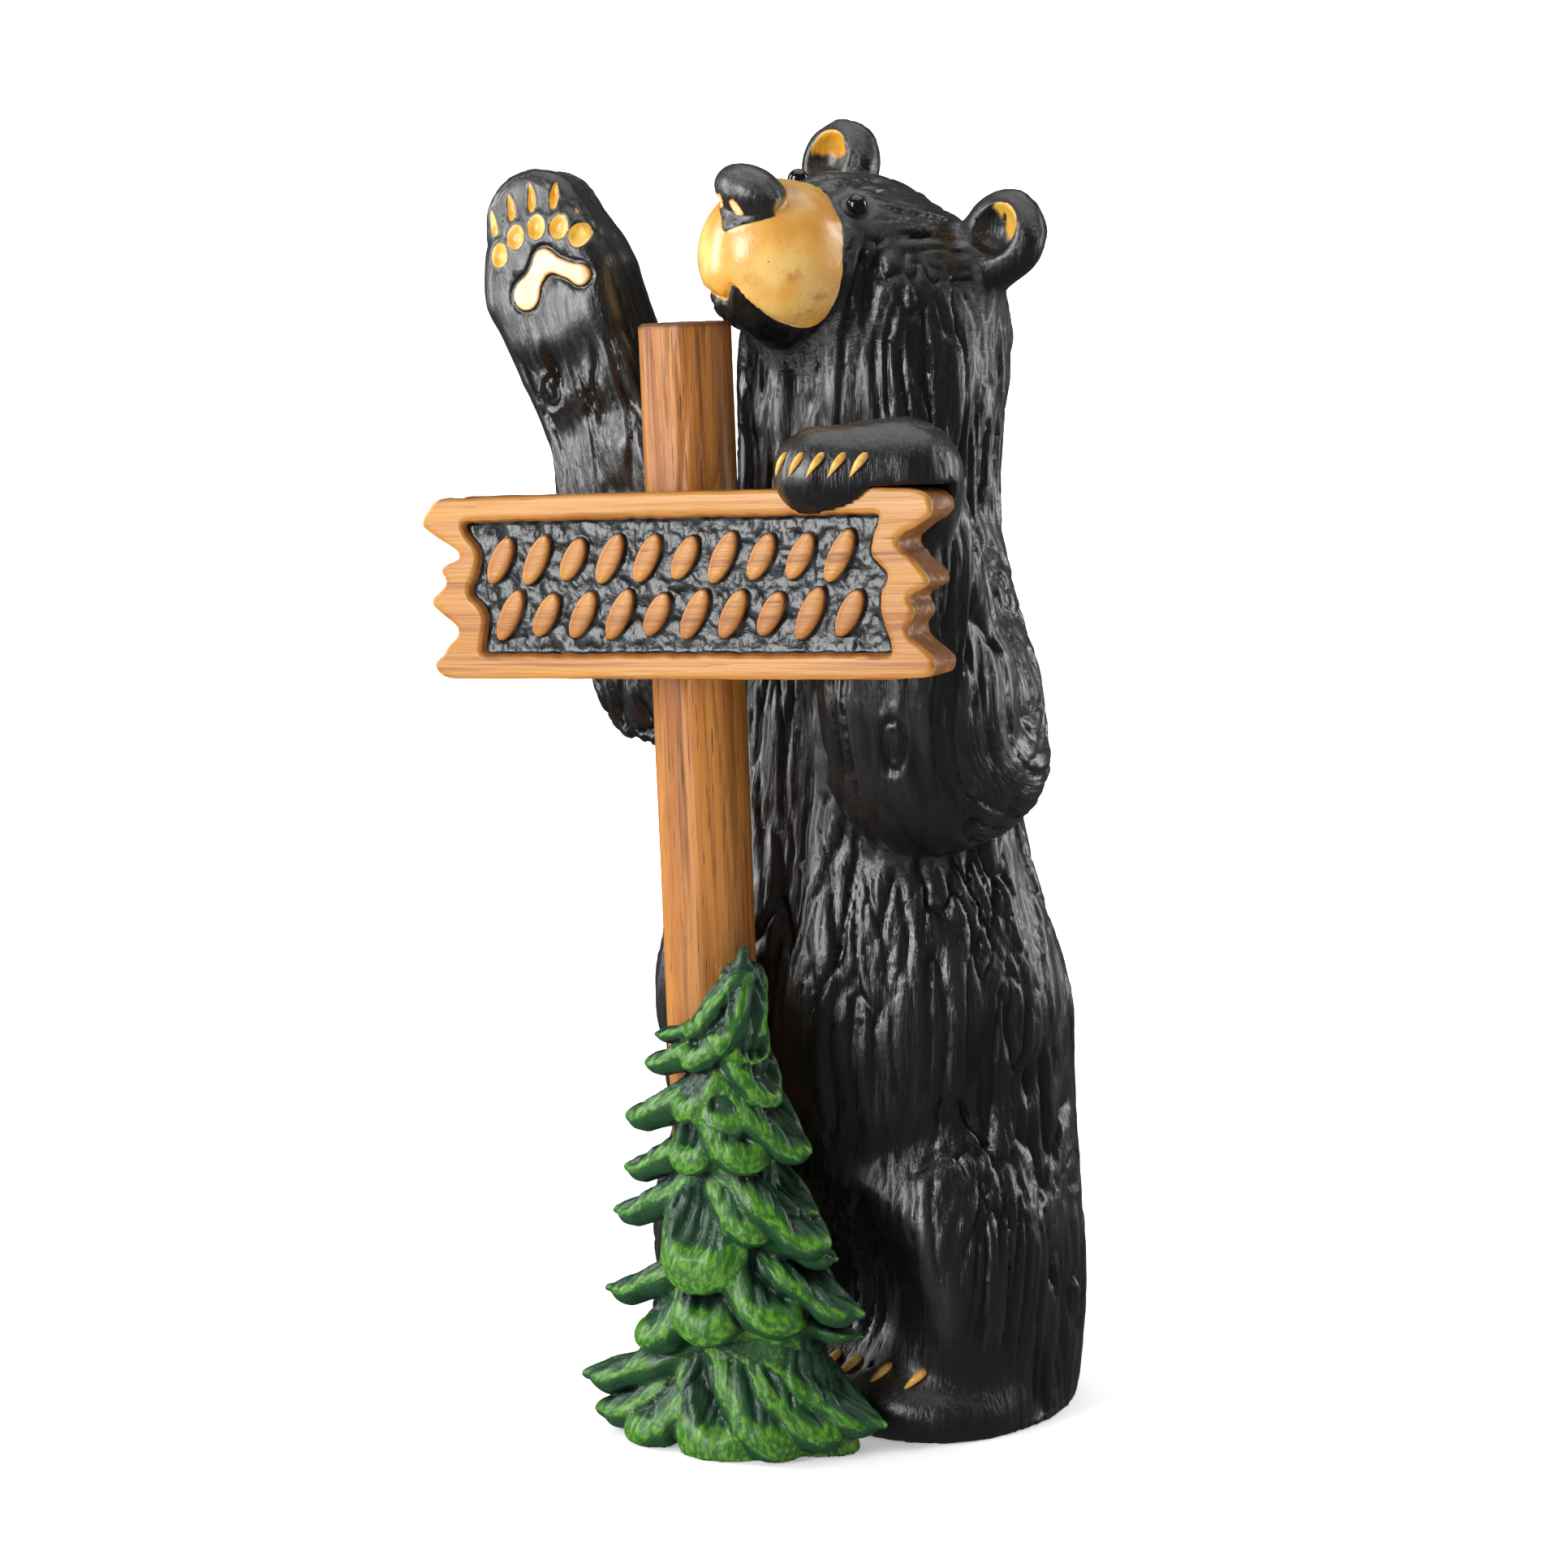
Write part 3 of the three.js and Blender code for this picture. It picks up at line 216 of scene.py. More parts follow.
def measured(field, points):
    parts = np.array_split(points, max(1, len(points) // 60000))
    with ThreadPoolExecutor(4) as pool:
        return np.concatenate(list(pool.map(field, parts)))


def sampled(field, axes, block=7):
    """Field values on a lattice. Blocks far from the surface get their sign only."""
    starts = [np.arange(0, len(a) - 1, block) for a in axes]
    ends = [np.minimum(s + block, len(a) - 1) for s, a in zip(starts, axes)]
    middles = [(a[s] + a[e]) / 2 for s, e, a in zip(starts, ends, axes)]
    halves = [(a[e] - a[s]) / 2 for s, e, a in zip(starts, ends, axes)]
    centre = np.stack(np.meshgrid(*middles, indexing="ij"), -1).reshape(-1, 3)
    reach = length(np.stack(np.meshgrid(*halves, indexing="ij"), -1).reshape(-1, 3))
    value = measured(field, centre)
    shape = [len(s) for s in starts]
    near = (np.abs(value) < reach * 1.5 + 3).reshape(shape)
    value = value.reshape(shape)
    spread = [np.minimum(np.arange(len(a)) // block, len(s) - 1) for a, s in zip(axes, starts)]
    full = np.where(value[np.ix_(*spread)] < 0, -1e3, 1e3).astype(np.float32)
    wanted = near[np.ix_(*spread)]
    for axis in range(3):
        edge = np.maximum(np.arange(len(axes[axis])) - 1, 0) // block
        index = list(spread)
        index[axis] = np.minimum(edge, len(starts[axis]) - 1)
        wanted = wanted | near[np.ix_(*index)]
    where = np.nonzero(wanted)
    points = np.stack([a[w] for a, w in zip(axes, where)], 1)
    full[where] = measured(field, points)
    return full


def surface(field, axes):
    """Vertices and quads of the field's surface, one vertex in each lattice cell that it crosses."""
    value = sampled(field, axes)
    inside = value < 0
    cells = tuple(n - 1 for n in value.shape)
    count = np.zeros(cells, np.int8)
    for c in range(8):
        i, j, k = c & 1, c >> 1 & 1, c >> 2
        count += inside[i:i + cells[0], j:j + cells[1], k:k + cells[2]]
    active = np.nonzero((count > 0) & (count < 8))
    corners = [value[active[0] + (c & 1), active[1] + (c >> 1 & 1), active[2] + (c >> 2)] for c in range(8)]
    total = np.zeros((len(active[0]), 3))
    crossings = np.zeros(len(active[0]))
    for c in range(8):
        for axis in range(3):
            other = c | 1 << axis
            if other == c:
                continue
            a, b = corners[c], corners[other]
            crossed = (a < 0) != (b < 0)
            t = np.where(crossed, a / np.where(crossed, a - b, 1), 0)
            for n in range(3):
                total[:, n] += np.where(crossed, (t if n == axis else c >> n & 1), 0)
            crossings += crossed
    share = total / crossings[:, None]
    points = np.stack([a[n] + share[:, axis] * (a[n + 1] - a[n])
                       for axis, (a, n) in enumerate(zip(axes, active))], 1)
    number = np.full(cells, -1, np.int64)
    number[active] = np.arange(len(points))
    quads = []
    for axis in range(3):
        ends = [slice(1, None)] * 3
        starts = [slice(1, None)] * 3
        ends[axis], starts[axis] = slice(1, None), slice(None, -1)
        crossed = inside[tuple(starts)] != inside[tuple(ends)]
        limit = [slice(None, cells[n] - (0 if n == axis else 1)) for n in range(3)]
        at = [n.copy() for n in np.nonzero(crossed[tuple(limit)])]
        u, v = (axis + 1) % 3, (axis + 2) % 3
        for n in (u, v):
            at[n] += 1
        ring = []
        for du, dv in ((0, 0), (1, 0), (1, 1), (0, 1)):
            cell = list(at)
            cell[u], cell[v] = at[u] - du, at[v] - dv
            ring.append(number[tuple(cell)])
        ring = np.stack(ring, 1)
        turned = ~inside[tuple(at)]
        ring[turned] = ring[turned][:, ::-1]
        quads.append(ring)
    return points, np.concatenate(quads)


def slope(field, p, step=0.25):
    parts = []
    for axis in range(3):
        shift = np.zeros(3)
        shift[axis] = step
        parts.append((measured(field, p + shift) - measured(field, p - shift)) / (2 * step))
    return np.stack(parts, 1)


def settled(field, p, most):
    """The points moved onto the field's surface, and the surface's normals there."""
    for _ in range(2):
        g = slope(field, p)
        far = measured(field, p) / np.maximum(np.einsum("ij,ij->i", g, g), 0.3)
        p = p - g * np.clip(far, -most, most)[:, None]
    g = slope(field, p, 0.6)
    return p, g / np.maximum(length(g), 1e-6)[:, None]


# The bear's form.
HEAD_AT = np.array([0, -12, 526.5])
HEAD_YAW, HEAD_PITCH, HEAD_ROLL = radians(14), radians(10.3), radians(19.3)
FORWARD = np.array([-sin(HEAD_YAW) * cos(HEAD_PITCH), -cos(HEAD_YAW) * cos(HEAD_PITCH), sin(HEAD_PITCH)])
LEVEL = np.array([-cos(HEAD_YAW), sin(HEAD_YAW), 0.0])
UPRIGHT = np.cross(LEVEL, FORWARD)
SIDEWAYS = LEVEL * cos(HEAD_ROLL) + UPRIGHT * sin(HEAD_ROLL)
CROWN = UPRIGHT * cos(HEAD_ROLL) - LEVEL * sin(HEAD_ROLL)
HEAD = np.array([FORWARD, CROWN, SIDEWAYS])

BODY = [(-12, 1, 2, 92, 76), (0, 2, 2, 95, 78), (50, 2, 2, 99, 79), (110, 0, 0, 99, 79),
        (150, -4, -3, 100, 79), (190, -6, -5, 101, 78), (222, -7, -6, 94, 73), (262, -7, -7, 81, 65),
        (300, -5, -8, 73, 60), (360, -2, -9, 66, 56), (430, -1, -9, 62, 54), (480, 0, -8, 64, 57),
        (540, 3, -6, 60, 52)]
RAISED = [(-143.5, -58, 543), (-134.5, -58, 516), (-123, -54, 487), (-101, -44, 421), (-86, -28, 343)]
RAISED_RADII = [26, 31, 27.5, 30, 37]
RAISED_HALVES = [16, 18, 20, 26, 34]
PALM_FACE = RAISED[1][1] - RAISED_HALVES[1]
SHOULDER = [(71, -48, 304), (55, -34, 336), (37, -20, 374), (21, -12, 406)]
FOREARM = [(53, -62, 308), (52, -72, 339), (52, -90, 392), (55, -104, 429)]
HAND = [(70, SIGN_FRONT + 26, SIGN_TOP + 8), (38, SIGN_FRONT + 10, SIGN_TOP + 9)]
CREASE = [(8, -88, 122), (29, -83, 125), (55, -73, 134.5), (77, -57, 146), (98, -28, 163)]
CREASE_RADII = [2.5, 4, 5, 5, 3]
LEG_HOLLOW = ((1, -92, 60), (66, 36, 50))
# The eyes' middles in head coordinates, and the radius of the groove round each of them.
EYE_FORWARD, EYE_UP, EYE_OUT = 43.5, 23.5, 19
EYE_GROOVE = 6.4


def to_head(p):
    return (p - HEAD_AT) @ HEAD.T


def ear_form(q, side):
    return ellipsoid(q, (-18, 33.5, 53.5 * side), (13, 21.5, 21.5))


def head_field(p):
    q = to_head(p)
    d = join(ellipsoid(q, (-2, -6, 0), (56, 44, 57)), ellipsoid(q, (28, 10, 0), (25, 22, 35)), 10)
    d = join(d, limb(q, [(25, -10, 0), (61, -10, 0)], [36, 34], 10), 7)
    d = join(d, ellipsoid(q, (46, -36, 0), (32, 12, 24)), 5)
    d = join(d, ellipsoid(q, (87, 13, 3), (13, 10.5, 17)), 4)
    for side in (-1, 1):
        d = join(d, ear_form(q, side), 9)
    for side in (-1, 1):
        d = cut(d, ellipsoid(q, (-6, 34.5, 54.5 * side), (11, 12, 11)), 3)
    return d


def body_field(p):
    d = cut(trunk(p, BODY), BODY[-1][0] - 4 - p[:, 2], 44)

    def legs(q):
        e = None
        for side in (-1, 1):
            leg = limb(q, [(44 * side + 2, -18, -10), (46 * side + 1, -20, 60)], [54, 50], 5)
            e = leg if e is None else join(e, leg, 8)
            e = join(e, ellipsoid(q, (47 * side + 1, -21, 74), (53, 60, 84)), 8)
        return e

    low = p[:, 2] < 190
    if low.any():
        q = p[low]
        part = join(d[low], legs(q), 8)
        part = cut(part, ellipsoid(q, *LEG_HOLLOW), 14)
        for side in (-1, 1):
            part = join(part, ellipsoid(q, (45 * side + 2, -42, 8), (45, FOOT_FRONT - 42, 25)), 8)
        part = cut(part, limb(q, CREASE, CREASE_RADII, 6), 12)
        mirrored = [(2 - x, y, z) for x, y, z in CREASE]
        d[low] = cut(part, limb(q, mirrored, CREASE_RADII, 6), 12)
    return d


def hand_field(p):
    return limb(p, HAND, [24, 20], 10)


def arm_field(p):
    d = join(limb(p, SHOULDER, [32, 34, 32, 34], 20), limb(p, FOREARM, [45, 40, 33, 29], 20), 6)
    return join(d, hand_field(p), 14)


def raised_field(p):
    shoulder = limb(p, [(-30, -8, 372), RAISED[4]], [42, 37], 20)
    return join(shoulder, paddle(p, RAISED, RAISED_RADII, RAISED_HALVES, 9, 14), 16)


def parts_of_bear(p):
    """Distances to the body, the arm on the sign, the raised arm and the head."""
    return (body_field(p),
            local(p, (-40, -185, 235), (135, 50, 490), arm_field),
            local(p, (-200, -120, 280), (50, 65, 600), raised_field),
            local(p, (-105, -155, 430), (110, 90, 640), head_field))


def to_sign(p):
    """Along the board, depth and height on the board, from the board's middle."""
    x, z = p[:, 0] - BOARD_X, p[:, 2] - SIGN_MIDDLE
    return np.stack([x * cos(POST_LEAN) + z * sin(POST_LEAN), p[:, 1],
                     z * cos(POST_LEAN) - x * sin(POST_LEAN)], 1)


def from_sign(q):
    return np.stack([BOARD_X + q[:, 0] * cos(POST_LEAN) - q[:, 2] * sin(POST_LEAN), q[:, 1],
                     SIGN_MIDDLE + q[:, 0] * sin(POST_LEAN) + q[:, 2] * cos(POST_LEAN)], 1)


def post_space(p):
    x = (p[:, 0] - POST_FOOT[0] + p[:, 2] * tan(POST_LEAN)) * cos(POST_LEAN)
    side = np.hypot(x, p[:, 1] - POST_FOOT[1]) - POST_RADIUS - FIT_GAP
    return np.maximum(side, p[:, 2] - POST_TOP - FIT_GAP)


def sign_space(p):
    q = to_sign(p)
    return np.maximum(np.maximum(np.abs(q[:, 0]) - SIGN_LENGTH / 2, np.abs(q[:, 2]) - SIGN_HEIGHT / 2),
                      np.abs(q[:, 1] - (SIGN_FRONT + SIGN_BACK) / 2) - SIGN_THICKNESS / 2) - FIT_GAP


def bear_form(p):
    body, arm, raised, head = parts_of_bear(p)
    return join(join(join(body, arm, 7), raised, 9), head, 14)


def bear_field(p):
    d = bear_form(p)
    d = np.maximum(d, -post_space(p))
    d = np.maximum(d, -sign_space(p))
    return np.maximum(d, 0.2 - p[:, 2])


# The carved coat. Its lines run down the body, round the elbow, along the raised arm and back over the crown.
def coat(g, seed):
    """Height of the carving at places given across, across and along the lines."""
    sway = np.stack([noise(g / (30, 30, 75), seed), noise(g / (30, 30, 75), seed + 1), np.zeros(len(g))], 1)
    w = g + 7 * sway
    swell = noise(w / (17, 17, 115), seed + 2)
    fold = noise(w / (9, 9, 85), seed + 3)
    line = noise(w / (4.6, 4.6, 44), seed + 4)
    gate = smooth(-0.35, 0.45, noise(w / (34, 34, 70), seed + 5))
    valley = 1 - np.clip(np.abs(fold) / 0.2, 0, 1)
    scratch = 1 - np.clip(np.abs(line) / 0.22, 0, 1)
    split = 1 - np.clip(np.abs(noise(w / (26, 26, 130), seed + 6)) / 0.07, 0, 1)
    split *= smooth(0.12, 0.3, noise(w / (45, 45, 60), seed + 7))
    height = 1.9 * swell + 1.3 * fold + 0.5 * line
    height = height - 2.6 * valley**1.4 * (0.5 + 0.5 * gate)
    return height - 0.9 * scratch * (0.35 + 0.65 * gate) - 3.4 * split


ELBOW = (-50, 338)


def round_elbow(p):
    """Across, radius and along-the-bend coordinates of the bent arm."""
    y, z = p[:, 1] - ELBOW[0], p[:, 2] - ELBOW[1]
    radius = np.hypot(y, np.minimum(z, 0))
    angle = np.arctan2(-y, -np.minimum(z, 0))
    rise = np.maximum(z, 0) * np.where(y < 0, 1, -1)
    return np.stack([p[:, 0], radius, 34 * angle + rise], 1)


RAISED_AXIS = unit(np.array(RAISED[0], float) - np.array(RAISED[4], float))


def along_raised(p):
    across = unit(np.cross(RAISED_AXIS, (0, 1, 0)))
    return p @ np.array([across, np.cross(across, RAISED_AXIS), RAISED_AXIS]).T


def over_crown(q):
    """Head coordinates with the lines running back from the muzzle over the crown."""
    return np.stack([q[:, 2], q[:, 1], q[:, 0]], 1)


def down_cheek(q):
    """Head coordinates with the lines running down and back over the cheek."""
    return np.stack([q[:, 0] * 0.94 - q[:, 1] * 0.34, q[:, 2], q[:, 0] * 0.34 + q[:, 1] * 0.94], 1)


# Marks that the maker put at one place: knots with rings, and rough pitted scars, as place and half sizes.
KNOTS = [((60, -112, 319), 5.5, 11.5), ((-130.5, -76, 467), 4, 7), ((99, 5, 112), 4, 8)]
SCARS = [((62, -62, 145), 4, 9), ((30, -86, 190), 4, 14), ((42, -80, 215), 4, 12), ((-112, -74, 462), 3, 8),
         ((88, -20, 60), 4, 8), ((-60, 60, 240), 5, 16), ((20, 72, 130), 5, 18)]
MARK_TURN = radians(27)
TANGENT = np.array([cos(MARK_TURN), sin(MARK_TURN), 0])


def marks(p):
    height = np.zeros(len(p))
    for at, wide, tall in KNOTS:
        away = p - np.array(at, float)
        near = length(away) < 2.2 * tall
        across = away[near] @ TANGENT
        e = np.hypot(across / wide, away[near][:, 2] / tall)
        ring = -1.6 * np.exp(-((e - 1) / 0.16) ** 2) - 0.9 * np.exp(-((e - 0.55) / 0.12) ** 2)
        height[near] += ring + 0.7 * np.exp(-((e - 1.35) / 0.2) ** 2)
    for at, wide, tall in SCARS:
        away = p - np.array(at, float)
        near = length(away) < 2 * tall
        across = away[near] @ TANGENT
        e = np.hypot(across / wide, away[near][:, 2] / tall) + 0.35 * noise(p[near] / 3, 71)
        pits = 0.5 + 0.5 * noise(p[near] / 1.9, 72)
        height[near] -= 2.2 * pits * smooth(1.1, 0.6, e)
    return height


# The raised palm: toes, claws and a pad, on the palm's own plane.
PALM = np.array([-130.5, 511.0])
PALM_FOOT = 485
PALM_INNER = -98
TOE_REACH = 31.5
CLAW_REACH = 45.5
TOE_ANGLES = (-54, -32.5, -11, 10.5, 30)
TOES = [(PALM[0] + TOE_REACH * sin(radians(a)), PALM[1] + TOE_REACH * cos(radians(a))) for a in TOE_ANGLES]
PALM_CLAWS = [-43 + 14.8 * i for i in range(5)]
PAD_LOBES = [(-10.5, 0.5, 7), (-1.5, 16, 3.9), (17.5, 9.5, 4.3)]


def on_palm(p, front=np.inf):
    """Which points lie on the raised paw and before a given Y."""
    return (p[:, 2] > PALM_FOOT) & (p[:, 0] < PALM_INNER) & (p[:, 1] < front)


def pad_distance(x, z):
    u, w = x - PALM[0], z - PALM[1]
    lobes = [np.hypot(u - a, w - b) - r for a, b, r in PAD_LOBES]

    def bar(start, end, width):
        run = np.array(end[:2]) - np.array(start[:2])
        a, b = u - start[0], w - start[1]
        t = np.clip((a * run[0] + b * run[1]) / (run @ run), 0, 1)
        return np.hypot(a - t * run[0], b - t * run[1]) - width

    bars = join(bar(PAD_LOBES[0], PAD_LOBES[1], 4.4), bar(PAD_LOBES[1], PAD_LOBES[2], 3.6), 4)
    return join(join(join(lobes[0], lobes[1], 3), lobes[2], 3), bars, 3)


def toe_distance(x, z):
    best = np.full(len(x), 30.0)
    for tx, tz in TOES:
        e = np.hypot((x - tx) / 4.6, (z - tz) / 5.6)
        best = np.minimum(best, (e - 1) * 4.8)
    return best


def palm_claw_distance(x, z):
    best = np.full(len(x), 30.0)
    for angle in PALM_CLAWS:
        a = radians(angle)
        u, w = x - PALM[0] - CLAW_REACH * sin(a), z - PALM[1] - CLAW_REACH * cos(a)
        lean = radians(angle * 0.35 - 4)
        along, across = u * sin(lean) + w * cos(lean), u * cos(lean) - w * sin(lean)
        half = 1.9 * (1 - 0.35 * np.clip(along / 6.5, -1, 1))
        best = np.minimum(best, (np.hypot(across / half, along / 6.6) - 1) * 1.9)
    return best


def palm_carving(p, share):
    x, z = p[:, 0], p[:, 2]
    toe = toe_distance(x, z)
    claw = palm_claw_distance(x, z)
    pad = pad_distance(x, z)
    height = -2.0 * smooth(0.2, -3.4, toe) + 0.35 * np.exp(-((toe - 1.1) / 0.8) ** 2)
    height += -1.6 * smooth(0.3, -1.5, claw) + 0.25 * np.exp(-((claw - 0.9) / 0.6) ** 2)
    height += -1.7 * np.exp(-((pad - 1.1) / 0.75) ** 2) + 0.3 * smooth(0.2, -3, pad)
    return height * share


# Painted and carved places of the face, in head coordinates: forward, up and to the bear's right.
def face(q):
    """Distances inside the yellow muzzle, inside the black nose and inside the pale nostrils."""
    f, u, r = q.T
    back = f - 52.5 - 2.5 * np.sin((u + 10) * 0.09)
    cleft = np.exp(-(((r + 8.5) / np.where(r < -8.5, 7.6, 3.6)) ** 2))
    under = u + 34.8 - 8.6 * cleft * smooth(62, 74, f)
    muzzle = join(back, under, 9)
    cap = ellipsoid(q, (88.5, 13.5, 3.5), (15.7, 14.5, 18.6))
    tip = np.maximum((np.abs(r - 1.6) - np.maximum(u + 7, 0) * 1.1) * 0.67, 82 - f)
    tip = np.maximum(tip, np.maximum(-(u + 7), u - 8))
    nose = join(cap, tip, 3)
    holes = None
    for side in (-1, 1):
        e = np.hypot((r - 5 - 6 * side + 0.3 * side * (u - 5)) / 3.2, (u - 5) / 3.2)
        hole = (e - 1) * 3
        holes = hole if holes is None else np.minimum(holes, hole)
    holes = np.maximum(holes, 80 - f)
    return muzzle, -nose, -holes


def ear_distance(q):
    best = np.full(len(q), -30.0)
    for side in (-1, 1):
        d = ellipsoid(q, (-4.5, 36.5, 55.5 * side), (12.5, 12.2, 10.8))
        # The plane shade keeps the lower inner side of each ear hollow black. This is painted shade where the
        # hollow falls dark, and the gold paint stops there.
        shade = (q[:, 1] - 35.5 - 0.74 * ((47.5 if side < 0 else 44) - q[:, 2] * side)) * 0.8
        best = np.maximum(best, np.where(q[:, 0] > -22, np.minimum(-d, shade), -30))
    return best


def bear_carving(p, n):
    """Height of all carving above the plain form, and the coordinates of the lines."""
    body, arm, raised, head = parts_of_bear(p)
    stack = np.stack([body, arm, raised, head], 1)
    weight = np.exp(-(stack - stack.min(1, keepdims=True)) / 3.5)
    q = to_head(p)
    weight = weight / weight.sum(1, keepdims=True)
    neck = weight[:, 0] * smooth(478, 528, p[:, 2])
    skull = weight[:, 3] + neck
    top = smooth(0.25, 0.8, n @ CROWN)
    weights = [weight[:, 0] - neck, weight[:, 1], weight[:, 2], skull * top, skull * (1 - top)]
    bend = round_elbow(p)
    inner = smooth(12, 4, bend[:, 1]) * weights[1]
    weights[0] = weights[0] + inner
    weights[1] = weights[1] - inner
    places = [p, bend, along_raised(p), over_crown(q), down_cheek(q)]
    height = np.zeros(len(p))
    lines = np.zeros((len(p), 3))
    for seed, (g, w) in enumerate(zip(places, weights)):
        used = w > 0.02
        height[used] += w[used] * coat(g[used], 20 + 10 * seed)
        lines += w[:, None] * g
    muzzle, nose, _ = face(q)
    on_head = head < 2.5
    calm = np.ones(len(p))
    calm = np.where(on_head, np.minimum(calm, 0.05 + 0.95 * smooth(3, -5, muzzle)), calm)
    calm = np.where(on_head, np.minimum(calm, 0.04 + 0.96 * smooth(1, -3, nose)), calm)
    eye = np.minimum(*[length(q - (EYE_FORWARD, EYE_UP, EYE_OUT * side)) for side in (1, -1)])
    calm = np.minimum(calm, 0.1 + 0.9 * smooth(6, 22, eye))
    ears = np.minimum(ear_form(q, 1), ear_form(q, -1))
    calm = np.minimum(calm, 0.22 + 0.78 * smooth(2, 12, ears))
    palm = weight[:, 2] * smooth(474, 492, p[:, 2] - 0.25 * (p[:, 0] + 130)) * smooth(0.2, -0.5, n[:, 1])
    calm = np.minimum(calm, 1 - 0.88 * palm)
    calm = np.minimum(calm, 1 - 0.6 * weight[:, 2] * smooth(500, 520, p[:, 2]))
    calm = np.minimum(calm, 0.18 + 0.82 * smooth(2, 16, hand_field(p)))
    foot = smooth(52, 32, p[:, 2]) * smooth(-30, -55, p[:, 1])
    calm = np.minimum(calm, 1 - 0.86 * foot)
    calm = np.minimum(calm, smooth(0, 5, p[:, 2]) * 0.8 + 0.2)
    height = height * calm + marks(p) + 0.35 * noise(p / 14, 90)
    height += palm_carving(p, smooth(-0.45, -0.8, n[:, 1]) * on_palm(p))
    height -= 1.3 * np.exp(-((eye - EYE_GROOVE) / 0.9) ** 2)
    height += np.where(on_head, 1.1 * smooth(-0.3, 1.3, nose), 0)
    seam = np.exp(-((muzzle + 0.6) / 1.3) ** 2) * on_head
    seam = seam * smooth(-20, -34, q[:, 1]) * smooth(52, 60, q[:, 0])
    height -= 2.2 * seam
    gap = np.minimum(post_space(p), sign_space(p))
    height *= smooth(0.05, 2.5, gap)
    return height, lines


def mesh_object(name, points, faces, values=None):
    """A smooth mesh from points in millimetres, with named values at its vertices."""
    mesh = bpy.data.meshes.new(name)
    size = faces.shape[1]
    mesh.vertices.add(len(points))
    mesh.vertices.foreach_set("co", (points * MM).astype(np.float32).ravel())
    mesh.loops.add(faces.size)
    mesh.loops.foreach_set("vertex_index", faces.astype(np.int32).ravel())
    mesh.polygons.add(len(faces))
    mesh.polygons.foreach_set("loop_start", np.arange(0, faces.size, size, dtype=np.int32))
    mesh.update(calc_edges=True)
    mesh.validate()
    mesh.shade_smooth()
    made = bpy.data.objects.new(name, mesh)
    bpy.context.scene.collection.objects.link(made)
    for key, data in (values or {}).items():
        give(made, key, data)
    return made


def give(made, key, data):
    kind = "FLOAT" if data.ndim == 1 else "FLOAT_VECTOR"
    layer = made.data.attributes.get(key) or made.data.attributes.new(key, kind, "POINT")
    layer.data.foreach_set("value" if data.ndim == 1 else "vector", data.astype(np.float32).ravel())


def places_of(made):
    co = np.empty(len(made.data.vertices) * 3, np.float32)
    made.data.vertices.foreach_get("co", co)
    return co.reshape(-1, 3).astype(float) / MM


def thinned(made, triangles, keep=None):
    """Fewer triangles, the flattest places first. keep marks vertices that stay."""
    count = 2 * len(made.data.polygons)
    if count <= triangles:
        return made
    change = made.modifiers.new("thin", "DECIMATE")
    change.ratio = triangles / count
    if keep is not None:
        group = made.vertex_groups.new(name="free")
        free = np.nonzero(~keep)[0].tolist()
        group.add(free, 1.0, "REPLACE")
        change.vertex_group = "free"
        change.vertex_group_factor = 1.0
    graph = bpy.context.evaluated_depsgraph_get()
    mesh = bpy.data.meshes.new_from_object(made.evaluated_get(graph), preserve_all_data_layers=True,
                                           depsgraph=graph)
    made.modifiers.clear()
    made.vertex_groups.clear()
    made.data = mesh
    made.data.shade_smooth()
    return made


def dress(made, node, material):
    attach(made, "root")
    if node:
        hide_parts(node)
    made.data.materials.clear()
    made.data.materials.append(material)
    return made


